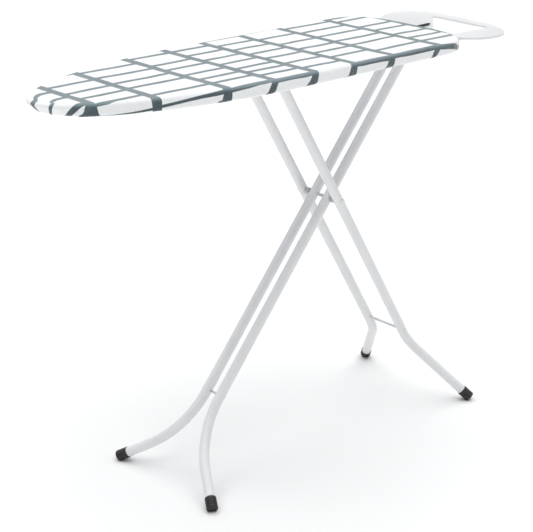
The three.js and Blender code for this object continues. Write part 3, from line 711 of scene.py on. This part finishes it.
def make_cover():
    count = 760
    edge = board_outline(0, count)
    normal = outward(edge)
    length = float(np.linalg.norm(np.roll(edge, -1, 0) - edge, axis=1).sum())
    turn = np.abs(np.cross(normal, np.roll(normal, -1, 0)))
    curl = np.convolve(np.concatenate([turn[-20:], turn, turn[:20]]), np.ones(41) / 41, "valid")
    curl = curl / curl.max()
    gather = 1 - 2 * np.abs(smooth_noise(count, (38 * MM, 61 * MM), 5, length)) ** 0.6
    sway = smooth_noise(count, (90 * MM, 150 * MM), 6, length)
    ripple = smooth_noise(count, (13 * MM, 17 * MM), 8, length)
    amount = 0.75 + 0.6 * curl + 0.9 * np.clip((-0.25 - edge[:, 0]) / 0.3, 0, 1)
    nose = np.clip((NOSE_X + 0.26 - edge[:, 0]) / 0.26, 0, 1) ** 1.5

    def fold(share):
        """How far the skirt's gathers stand out, at each point of the outline."""
        return (amount * (2.4 * gather + 1.6 * ripple) * share + 0.9 * sway + 1.2) * MM

    def print_at(d):
        """Where the cloth at a distance from the flat top lies in the print, at each point of the outline."""
        flat = edge + normal * np.reshape(d - EDGE_ROUND, (-1, 1))
        slide = np.maximum(d - EDGE_ROUND, 0) * (0.55 + 0.45 * sway + 0.25 * gather)
        across = drawn_in(edge, normal, printed(edge[:, 0], flat[:, 1]), d)
        return np.column_stack([flat[:, 0] + slide, across, np.broadcast_to(d, count)])

    profile = skirt_profile()
    run = run_along(profile)
    full = run[-1]
    rings, cuts = [], []
    hem_reach = np.interp(edge[:, 0], [TAIL_X - 0.05, TAIL_X - 0.012], [36 * MM, 12 * MM])
    for (inset, z), d in zip(profile, run):
        t = d / full
        grow = max(0.0, (t - 0.2) / 0.8) ** 1.1
        out = np.clip(grow * fold(1.0), *FOLD_LIMITS)
        ring = edge + normal * (out - inset - nose_tuck(edge, z))[:, None]
        down = grow * (amount * (0.8 * gather + 0.5 * ripple) * MM + NOSE_LIFT * nose)
        rings.append(at_height(ring, z + np.maximum(down, -0.6 * MM)))
        cuts.append(print_at(d))
    last_inset, last_z = profile[-1]
    for t in np.linspace(0, 1, 8)[1:]:
        inset = last_inset + (hem_reach - last_inset) * t
        out = np.clip(fold(1 - 0.4 * t), *FOLD_LIMITS)
        ring = edge + normal * (out - inset - nose_tuck(edge, last_z))[:, None]
        lift = amount * (1 + 1.2 * t) * (0.8 + gather * 0.8 + ripple * 0.4) * MM + 2.2 * t * MM
        rings.append(at_height(ring, last_z + np.maximum(lift + NOSE_LIFT * nose, 0)))
        cuts.append(print_at(full + inset - last_inset))

    # The top is filled with even triangles and dips very slightly, as cloth does on a soft pad.
    inner = rings[0][:, :2]
    flat, triangles = filled([inner], 11 * MM, 3)
    depth = np.min(np.linalg.norm(flat[:, None, :] - inner[None, ::8, :], axis=2), axis=1)
    waves = ((21, 13, 0), (47, -31, 1.7), (9, 57, 0.6))
    wave = sum(np.sin(flat[:, 0] * a + flat[:, 1] * b + c) for a, b, c in waves)
    heights = COVER_TOP - np.minimum(depth / 0.03, 1) * (0.35 + 0.12 * wave) * MM
    heights[:count] = COVER_TOP
    points = [(*p, z) for p, z in zip(flat, heights)]
    cut = [(p[0], printed(p[0], p[1]), 0.0) for p in flat]
    faces = list(triangles)
    last_ring = skinned(points, faces, range(count), rings[1:])
    cut += [tuple(c) for ring_cut in cuts[1:] for c in ring_cut]
    cover = piece("cotton_cover", points, faces, "board", "cover_cotton", ["cover"], sharp=80)
    set_cut(cover, cut)
    thickened(cover, "cloth", CLOTH)

    # The hem is a narrow casing rolled round its elastic, bunched along its length.
    hem_line = [Vector(points[k]) + Vector((0, 0, 0.4 * MM)) for k in last_ring]
    sides = 10
    bunch = smooth_noise(count, (6 * MM, 9 * MM), 9, length)
    hem_points = swept(hem_line, lambda i: circle((2.0 + 0.35 * bunch[i]) * MM, sides), closed=True)
    hem = piece("cover_hem", hem_points, ring_faces(count, sides, True), "board", "cover_cotton", sharp=80)
    set_cut(hem, np.repeat(cuts[-1], sides, axis=0))


def make_pad():
    low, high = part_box("foam_pad")
    inset = COVER_HIGH.y - high.y
    count = 300
    rise = high.z - low.z
    levels = [(3, 0.0), (0.8, 0.12), (0.0, 0.4), (0.3, 0.65), (1.4, 0.86), (3.4, 0.97), (7, 1.0)]
    rings = [at_height(board_outline(inset + off * MM, count), low.z + rise * t) for off, t in levels]
    points, faces = [tuple(p) for p in rings[0]], []
    skinned(points, faces, range(count), rings[1:])
    for loop, z, sign in ((rings[0][:, :2], low.z, -1), (rings[-1][:, :2], high.z, 1)):
        flat, triangles = filled([loop], 24 * MM, 4)
        start = len(points)
        soft = 0.2 * MM * np.sin(flat[:, 0] * 60) * np.sin(flat[:, 1] * 75)
        soft[:count] = 0
        points += [(*p, z - abs(s) * sign) for p, s in zip(flat, soft)]
        faces += [tuple(start + v for v in t) for t in triangles]
    pad = piece("felt_pad", points, faces, "board", "pad_felt", ["foam_pad"], sharp=60)
    reworked(pad.data, weld)


# ---- Legs ----

PIVOT = JOINTS["scissor"]
HINGE = JOINTS["leg_fold"]
SLIDE = sum(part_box("slide_bar"), Vector((0, 0, 0))) / 2
TUBE_RADIUS, TUBE_WALL = 11 * MM, 1.1 * MM
FRAMES = {
    "hinged": dict(
        direction=-1, half=21 * MM, top=HINGE, past=10 * MM, bend_at=499 * MM, bend=214 * MM,
        splay=math.radians(48.2), flare=math.radians(2), foot=88.5 * MM,
    ),
    "sliding": dict(
        direction=1, half=55 * MM, top=SLIDE, past=12 * MM, bend_at=450 * MM, bend=100 * MM,
        splay=math.radians(34), flare=math.radians(4.4), foot=181 * MM,
    ),
}
FOOT_LENGTH, FOOT_RADIUS, FOOT_SOLE = 28 * MM, 12.7 * MM, 7 * MM


def leg_corners(leg, sign):
    """The top, the corner of the bend and the foot's end of one tube, and the heading of its lower part."""
    up = Vector((leg["top"].x - PIVOT.x, 0, leg["top"].z - PIVOT.z))
    slope = math.atan2(up.z, abs(up.x))

    def at(down):
        along = leg["direction"] * down * math.cos(slope)
        return Vector((PIVOT.x + along, sign * leg["half"], PIVOT.z - down * math.sin(slope)))

    setback = leg["bend"] * math.tan(leg["splay"] / 2)
    corner = at(leg["bend_at"] + setback)
    tilt = slope - leg["flare"]
    ahead, aside = math.cos(leg["splay"]), math.sin(leg["splay"])
    heading = Vector((leg["direction"] * ahead * math.cos(tilt), sign * aside, -ahead * math.sin(tilt)))
    end = corner + heading * (setback + leg["foot"])
    return [at(-up.length - leg["past"]), corner, end], heading


def make_foot(name, node, end, heading, body):
    """A moulded cap with shallow grip ribs, a soft lip and a flat tread where it stands."""
    full, top = FOOT_RADIUS / MM, FOOT_LENGTH / MM
    profile = [(0.0, 0.0), (full - 2.6, 0.0), (full - 0.9, 0.5), (full - 0.1, 1.8), (full, 3.2)]
    for k in range(4):
        z = 6.8 + 4.2 * k
        groove = [(-0.1, -1.9), (-0.2, -1.3), (-0.8, -0.9), (-0.9, 0.0), (-0.8, 0.9), (-0.2, 1.3)]
        profile += [(full + depth, z + off) for depth, off in groove]
    profile += [(full - 0.2, top - 4.5), (full - 0.3, top - 1.6), (full - 0.6, top - 0.5), (full - 1.0, top)]
    profile += [(11.5, top - 0.1), (11.15, top - 0.6), (11.1, top - 4.0)]
    cap = turned_piece(name, profile, end, -heading, body, "black_plastic", [node], 48, 50)

    def cut_tread(edited):
        everything = edited.verts[:] + edited.edges[:] + edited.faces[:]
        sliced = bmesh.ops.bisect_plane(
            edited, geom=everything, plane_co=(0, 0, 0.3 * MM), plane_no=(0, 0, -1), clear_outer=True
        )
        rim = [g for g in sliced["geom_cut"] if isinstance(g, bmesh.types.BMEdge)]
        sole = bmesh.ops.contextual_create(edited, geom=rim)["faces"]
        bmesh.ops.inset_region(edited, faces=sole, thickness=0.8 * MM, depth=0)
        for vertex in (v for face in sole for v in face.verts):
            vertex.co.z = 0.0

    reworked(cap.data, cut_tread)
    cap.data.set_sharp_from_angle(angle=math.radians(50))


def make_legs():
    for kind, leg in FRAMES.items():
        body = kind + "_frame"
        for side, sign in SIDES:
            corners, heading = leg_corners(leg, sign)
            inside = corners[:2] + [corners[2] - heading * (FOOT_SOLE + 0.5 * MM)]
            node = f"{kind}_tube_{side}"
            line = bent_line(inside, leg["bend"], 22)
            tube(node + "_steel", line, TUBE_RADIUS, TUBE_WALL, body, "white_enamel", [node])
            foot = f"{kind}_foot_{side}"
            make_foot(foot + "_cap", foot, corners[2], heading, body)


def turned_piece(name, profile, origin, axis, body, slot, replaces=(), sides=36, sharp=40):
    points, faces = turned([(r * MM, z * MM) for r, z in profile], origin, axis, sides)
    return piece(name, points, faces, body, slot, replaces, sharp)


def extent(node):
    """The middle and the size of a CAD node's box."""
    low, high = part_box(node)
    return (low + high) / 2, high - low


def standing(node):
    """The point under the middle of a CAD node's box, and the box's height."""
    middle, size = extent(node)
    return middle - Vector((0, 0, size.z / 2)), size.z


def make_cross_rod(node, body, radius, head_radius, head_height, slot):
    """A riveted rod across the board. The slot is that of its heads, which show."""
    middle, size = extent(node)
    under = size.y / 2 / MM - head_height
    tip, blunt = under + 0.3, radius - 0.4
    shank = [(0.0, -tip), (blunt, -tip), (radius, -under), (radius, under), (blunt, tip), (0.0, tip)]
    turned_piece(node + "_steel", shank, middle, (0, 1, 0), body, "zinc_steel", [node])
    tall = min(head_height, 1.5)
    shape = ((0, 0), (1, 0), (1, 0.45), (0.93, 0.8), (0.72, 1), (0, 1))
    head = [(head_radius * across, under + tall * up) for across, up in shape]
    for side, sign in SIDES:
        turned_piece(f"{node}_head_{side}", head, middle, (0, sign, 0), body, slot)


def make_ring(node, axis, inner, outer, body, slot, edge=0.5):
    """A bush or washer with broken edges."""
    middle, size = extent(node)
    half = size.dot(Vector(axis)) / 2 / MM
    low_side = [(inner, edge - half), (inner + edge, -half), (outer - edge, -half), (outer, edge - half)]
    high_side = [(r, -z) for r, z in reversed(low_side)]
    profile = [*low_side, *high_side, low_side[0]]
    turned_piece(node + "_ring", profile, middle, axis, body, slot, [node])


def make_screw(node, body):
    """A hexagon screw with a chamfered head and a washer face."""
    place, tall = standing(node)
    tall, head, across = tall / MM, 2.6, 4.4
    face = head - 0.6
    parts = (
        (6, [(0.0, 0.0), (across * 0.8, 0.0), (across, 0.5), (across, face), (0.0, face)]),
        (28, [(0.0, face), (4.5, face), (4.6, head - 0.3), (4.6, head), (0.0, head)]),
        (20, [(0.0, head), (2.4, head), (2.4, tall - 0.5), (1.9, tall), (0.0, tall)]),
    )
    parts = [(sides, [(r * MM, z * MM) for r, z in part]) for sides, part in parts]
    points, faces = joined([turned(part, place, (0, 0, 1), sides) for sides, part in parts])
    piece(node + "_hex", points, faces, body, "zinc_steel", [node], sharp=30)


def make_rivet(node, body):
    place, tall = standing(node)
    tall = tall / MM
    crown = [(4.4 * math.sin(a), 1.5 * (1 - math.cos(a))) for a in np.linspace(0.2, math.pi / 2, 6)]
    profile = [(0.0, 0.0), *crown, (4.4, 2.0), (2.4, 2.0), (2.4, tall - 0.4), (2.0, tall), (0.0, tall)]
    turned_piece(node + "_domed", profile, place, (0, 0, 1), body, "zinc_steel", [node])


def make_running_gear():
    make_cross_rod("hinge_rod", "board", 4, 7, 2.6, "zinc_steel")
    make_cross_rod("pivot_rod", "hinged_frame", 4, 7.4, 3, "white_enamel")
    make_cross_rod("hinged_spacer_rod", "hinged_frame", 2.8, 4.8, 1.8, "white_enamel")
    make_cross_rod("sliding_spacer_rod", "sliding_frame", 3, 5, 1.8, "white_enamel")
    make_ring("hinge_sleeve", (0, 1, 0), 4.4, 6.5, "hinged_frame", "grey_plastic")
    for side, _ in SIDES:
        make_ring(f"pivot_bush_{side}", (0, 1, 0), 4.4, 8, "hinged_frame", "grey_plastic")
    make_ring("lever_clip", (0, 0, 1), 3.3, 6.4, "board", "zinc_steel", 0.25)
    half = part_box("slide_bar")[1].y / MM
    bar = [(0.0, -half), (5.4, -half), (6.0, 0.6 - half), (6.0, half - 0.6), (5.4, half), (0.0, half)]
    turned_piece("slide_bar_steel", bar, SLIDE, (0, 1, 0), "sliding_frame", "zinc_steel", ["slide_bar"])
    for side, sign in SIDES:
        node = f"slide_bar_cap_{side}"
        inner, outer = sorted(abs(corner.y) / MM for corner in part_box(node))
        arc = np.linspace(0, math.pi / 2, 7)[:-1]
        crown = [(8.6 * math.cos(a), outer - 2.6 + 2.6 * math.sin(a)) for a in arc]
        cap = [(6.3, inner + 0.3), (6.6, inner), (7.8, inner), (8.5, inner + 1.0), (8.6, inner + 2.2)]
        cap += [(8.2, inner + 3.2), (8.2, inner + 4.0), (8.6, inner + 4.8), *crown, (0.0, outer)]
        cap += [(0.0, half + 0.3), (6.3, half + 0.3), (6.3, inner + 0.3)]
        middle = (SLIDE.x, 0, SLIDE.z)
        turned_piece(node + "_glide", cap, middle, (0, sign, 0), "sliding_frame", "black_plastic", [node])
    for side, _ in SIDES:
        for number in (1, 2):
            make_screw(f"hinge_screw_{side}_{number}", "board")
    for number in (1, 2, 3):
        make_rivet(f"rack_rivet_{number}", "board")


# ---- Underside of the board ----

PANEL_INSET, SHEET = 2.0 * MM, 1.0 * MM
STEAM_PITCH, STEAM_RADIUS = 26 * MM, 4.5 * MM
FIXING_BORE, FIXING_CLEAR = 2.9 * MM, 11 * MM
GUIDE_TAIL_Z, GUIDE_NOSE_Z = 857.6 * MM, 850 * MM


def panel_holes():
    """Steam holes in staggered rows, and a small bore for each screw and rivet."""
    names = [f"hinge_screw_{side}_{n}" for side, _ in SIDES for n in (1, 2)]
    names += [f"rack_rivet_{n}" for n in (1, 2, 3)]
    fixings = [extent(name)[0].xy for name in names]
    edge = board_outline(24 * MM, 500)
    holes = []
    row = 0
    x = NOSE_X + 40 * MM
    while x < TAIL_X - 24 * MM:
        near = np.abs(edge[:, 0] - x) < 8 * MM
        room = float(np.abs(edge[near, 1]).max()) if near.any() else 0.0
        shift = 0.5 * (row % 2)
        for k in range(-7, 8):
            y = (k + shift) * STEAM_PITCH
            clear = all(math.hypot(x - f[0], y - f[1]) > FIXING_CLEAR for f in fixings)
            if abs(y) < room and clear:
                holes.append(np.array(circle(STEAM_RADIUS, 12)) + (x, y))
        x += STEAM_PITCH * 0.87
        row += 1
    holes += [np.array(circle(FIXING_BORE, 10)) + tuple(f) for f in fixings]
    return holes


def make_panel():
    """The pressed sheet: a perforated top, a rounded edge, a wall turned down and a lip turned in."""
    low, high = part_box("board_panel")
    count = 360
    corner, foot = 2.5 * MM, 5.5 * MM
    section = [*rounded_edge(corner, high.z, 5), *turned_under(foot, low.z, 5), (8 * MM, low.z)]
    rings = []
    for inset, z in section:
        ring = board_outline(PANEL_INSET + inset, count)
        rings.append(ring - outward(ring) * nose_tuck(ring, z - 1.5 * MM)[:, None])
    loops = [rings[0], *panel_holes()]
    owner = np.concatenate([np.full(len(loop), k) for k, loop in enumerate(loops)])
    flat = np.vstack(loops)
    spots, _, triangles, _, _, _ = delaunay_2d_cdt(*stitched(loops), [], 0, 1e-7)
    assert len(spots) == len(flat)
    faces = [tuple(t) for t in triangles if owner[t[0]] == 0 or len({owner[v] for v in t}) > 1]
    points = [(p[0], p[1], high.z) for p in flat]
    lower = [at_height(ring, z) for ring, (_, z) in zip(rings[1:], section[1:])]
    skinned(points, faces, range(count), lower)
    sheet = piece("panel_sheet", points, faces, "board", "white_enamel", ["board_panel"], sharp=50)
    thickened(sheet, "sheet", SHEET)


def make_underside():
    for bevel, slot, nodes in (
        (0.45, "white_enamel", ("rib_nose", "rib_middle", "rib_tail")),
        (0.35, "zinc_steel", ("height_rack",)),
        (0.6, "zinc_steel", ("hinge_bracket_left", "hinge_bracket_right")),
        (1.4, "black_plastic", ("arm_socket_left", "arm_socket_right")),
    ):
        for node in nodes:
            dressed(node, bevel * MM, "board", slot)
    dressed("lever_arm", 0.7 * MM, "release_lever", "zinc_steel")
    dressed("lever_grip", 1.8 * MM, "release_lever", "black_plastic", 4)
    low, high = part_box("lever_grip")
    middle = (low.x + high.x) / 2
    rib = [(r * MM, x * MM) for r, x in ((0, -6.4), (0.7, -6), (0.7, 6), (0, 6.4))]
    rows = np.arange(high.y - 30 * MM, high.y - 9 * MM, 4.2 * MM)
    places = [(middle, y, z) for y in rows for z in (low.z, high.z)]
    points, faces = joined([turned(rib, place, (1, 0, 0), 10) for place in places])
    points = [(p.x, p.y, min(max(p.z, low.z - 0.4 * MM), high.z + 0.4 * MM)) for p in points]
    piece("grip_ribs", points, faces, "release_lever", "black_plastic")

    wire_radius = 2.5 * MM
    for side, _ in SIDES:
        low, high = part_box(f"slide_guide_{side}")
        y = (low.y + high.y) / 2
        tail, nose = high.x - wire_radius, low.x + wire_radius
        corners = [(tail, y, high.z), (tail, y, GUIDE_TAIL_Z), (nose, y, GUIDE_NOSE_Z), (nose, y, high.z)]
        line = bent_line([Vector(c) for c in corners], 9 * MM, 10)
        wire(f"slide_guide_{side}_wire", line, wire_radius, "board", "zinc_steel", [f"slide_guide_{side}"])

    post, tall = standing("lever_post")
    tall = tall / MM
    shoulder = (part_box("lever_arm")[1].z + 0.3 * MM - post.z) / MM
    profile = [(0.0, 0.0), (2.4, 0.0), (3.0, 0.6), (3.0, shoulder), (6.1, shoulder), (6.5, shoulder + 0.4)]
    profile += [(6.5, tall - 0.6), (6.1, tall), (0.0, tall)]
    turned_piece("lever_post_turned", profile, post, (0, 0, 1), "board", "zinc_steel", ["lever_post"])

    low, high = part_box("lever_spring")
    turns, per_turn, coil_radius, thin = 4, 40, 8.6 * MM, 0.8 * MM
    coil = []
    for k in range(turns * per_turn + 1):
        a = 2 * math.pi * k / per_turn
        z = low.z + thin + (high.z - low.z - 2 * thin) * k / (turns * per_turn)
        coil.append(Vector((post.x + coil_radius * math.cos(a), post.y + coil_radius * math.sin(a), z)))
    wire("lever_spring_coil", coil, thin, "board", "zinc_steel", ["lever_spring"], 12)


# ---- Iron rest ----

ARM_RADIUS, ARM_RISE_FROM, ARM_RISE_TO = 4 * MM, 438 * MM, 468 * MM


def curve_points(start, steps):
    """A closed outline from quadratic curves. Each step is (control, end), or an end alone for a line."""
    line = [np.array(start, float)]
    for step in steps:
        if isinstance(step[0], tuple):
            control, end = (np.array(p, float) for p in step)
            here = line[-1]
            for t in np.linspace(0, 1, 15)[1:]:
                line.append((1 - t) ** 2 * here + 2 * t * (1 - t) * control + t * t * end)
        else:
            line.append(np.array(step, float))
    loop = np.array([*line, line[0]]) * MM
    even = respaced(loop, int(run_along(loop)[-1] / (2.2 * MM)))
    ahead = np.roll(even, -1, 0)
    area = np.sum(even[:, 0] * ahead[:, 1] - ahead[:, 0] * even[:, 1])
    return even if area > 0 else even[::-1]


def make_iron_rest():
    low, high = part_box("iron_rest_plate")
    inner = low.x / MM
    outline = curve_points(
        (inner, 120),
        [((492, 163), (536, 165)), ((616, 168), (616, 100)), (615, 0), ((612, -104), (577, -141)),
         ((554, -165), (520, -163)), ((470, -162), (inner, -112))],
    )
    window = curve_points(
        (573, 68),
        [((582, 75), (582, 62)), (580, -78), ((579, -95), (562, -95)), (470, -87), ((452, -86), (452, -70)),
         (452, -44), ((452, -37), (460, -32))],
    )

    def soft(loop):
        for _ in range(2):
            loop = (np.roll(loop, 1, 0) + 2 * loop + np.roll(loop, -1, 0)) / 4
        return loop

    outline, window = soft(outline), soft(window)
    out_normal, in_normal = outward(outline), outward(window)
    top, bead = high.z, 1.5 * MM
    depth = high.z - low.z
    # From the flat of the plate outwards: a shallow step down, a rolled bead, and a rim turned down.
    rim = [(9.5, -bead), (8.2, -bead), (7.0, -0.5 * bead), (5.8, -0.1 * bead), (4.4, 0.0), (3.0, 0.0)]
    rim = [(i * MM, z) for i, z in rim]
    rolled = 1.7 * MM
    for a in np.linspace(0.2, math.pi / 2, 6):
        rim.append((rolled * (1 - math.sin(a)) + 0.3 * MM, -rolled * (1 - math.cos(a))))
    rim.append((0.3 * MM, -depth * 0.6))
    rim += [(i * MM, z * MM - depth) for i, z in ((0.4, 1.2), (1.0, 0.3), (2.0, 0.2))]
    rings = [(outline - out_normal * inset, top + z) for inset, z in rim]
    # The same step and bead round the window, and its rim turned down.
    sill = [(7.5, -1.5), (6.2, -1.5), (5.2, -0.75), (4.2, -0.15), (3.0, 0.0), (1.9, 0.0)]
    sill += [(1.0, -0.25), (0.45, -0.8), (0.3, -1.8), (0.3, -4.6), (0.9, -4.9)]
    frame_rings = [(window + in_normal * inset * MM, top + z * MM) for inset, z in sill]
    flat, triangles = filled([rings[0][0], frame_rings[0][0]], 6.5 * MM, 8)
    points = [(*p, top - bead) for p in flat]
    faces = list(triangles)
    for start, group in ((0, rings), (len(outline), frame_rings)):
        first = range(start, start + len(group[0][0]))
        skinned(points, faces, first, [at_height(*ring) for ring in group[1:]])
    plate = piece("rest_plate_pressed", points, faces, "board", "white_enamel", ["iron_rest_plate"], sharp=60)
    thickened(plate, "sheet", SHEET)
    dressed("iron_rest_strip", 0.9 * MM, "board", "black_silicone", 3)
    for side, _ in SIDES:
        node = f"iron_rest_arm_{side}"
        low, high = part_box(node)
        y = (low.y + high.y) / 2
        under, over = low.z + ARM_RADIUS, high.z - ARM_RADIUS
        corners = [(low.x, y, under), (ARM_RISE_FROM, y, under), (ARM_RISE_TO, y, over), (high.x, y, over)]
        line = bent_line([Vector(c) for c in corners], 14 * MM, 10)
        wire(node + "_bar", line, ARM_RADIUS, "board", "white_enamel", [node])


# ---- Floor and lights ----

FLOOR_HALF = 40
FILL_STRENGTH, SUN_STRENGTH, KEY_WATTS, KEY_SIZE = 0.38, 2.6, 4, 1.6
KEY_AT, KEY_AIM = Vector((-3.2, -1.2, 1.9)), Vector((0.0, 0, 0.6))


def make_stage():
    """A white floor that is clear when seen from below."""
    mesh = bpy.data.meshes.new("floor")
    corners = ((-1, -1), (1, -1), (1, 1), (-1, 1))
    mesh.from_pydata([(FLOOR_HALF * x, FLOOR_HALF * y, 0) for x, y in corners], [], [(0, 1, 2, 3)])
    floor = added("floor", mesh)
    s = Shader("studio_floor")
    haze = s.noise(s.place(), 0.8, 2)
    s.set(Base_Color=s.mix(haze, (0.925, 0.925, 0.925), (0.945, 0.945, 0.945)), Roughness=0.9)
    geometry = s.node("ShaderNodeNewGeometry")
    clear = s.node("ShaderNodeBsdfTransparent")
    blend = s.node("ShaderNodeMixShader")
    s.put(geometry.outputs["Backfacing"], blend.inputs[0])
    s.put(s.surface.outputs[0], blend.inputs[1])
    s.put(clear.outputs[0], blend.inputs[2])
    s.put(blend.outputs[0], s.out.inputs["Surface"])
    mesh.materials.append(s.material)


def make_lights():
    """A white room that lights softly, a wide sun overhead and a weak key from the nose."""
    world = bpy.data.worlds.new("studio")
    scene.world = world
    world.use_nodes = True
    tree = world.node_tree
    tree.nodes.clear()
    out = tree.nodes.new("ShaderNodeOutputWorld")
    path = tree.nodes.new("ShaderNodeLightPath")
    fill, seen = (tree.nodes.new("ShaderNodeBackground") for _ in range(2))
    blend = tree.nodes.new("ShaderNodeMixShader")
    fill.inputs["Color"].default_value = (0.97, 0.985, 1.0, 1)
    fill.inputs["Strength"].default_value = FILL_STRENGTH
    seen.inputs["Strength"].default_value = 1.0
    seen.inputs["Color"].default_value = (1, 1, 1, 1)
    tree.links.new(path.outputs["Is Camera Ray"], blend.inputs[0])
    tree.links.new(fill.outputs[0], blend.inputs[1])
    tree.links.new(seen.outputs[0], blend.inputs[2])
    tree.links.new(blend.outputs[0], out.inputs["Surface"])
    sun = bpy.data.lights.new("overhead", "SUN")
    sun.energy = SUN_STRENGTH
    sun.angle = math.radians(75)
    added("overhead", sun).rotation_euler = (math.radians(-3), math.radians(4), 0)
    key = bpy.data.lights.new("key", "AREA")
    key.shape = "RECTANGLE"
    key.size = key.size_y = KEY_SIZE
    key.energy = KEY_WATTS
    light = added("key", key)
    light.location = KEY_AT
    light.rotation_mode = "QUATERNION"
    light.rotation_quaternion = (KEY_AIM - KEY_AT).to_track_quat("-Z", "Y")
    scene.view_settings.view_transform = "Standard"


make_camera()
make_stage()
make_lights()
make_cover()
make_pad()
make_legs()
make_running_gear()
make_panel()
make_underside()
make_iron_rest()

for shown in frame["nodes"].values():
    for place, old in enumerate(shown.data.materials):
        name = old.name.split(".")[0]
        if name in MATERIALS:
            shown.material_slots[place].material = MATERIALS[name]
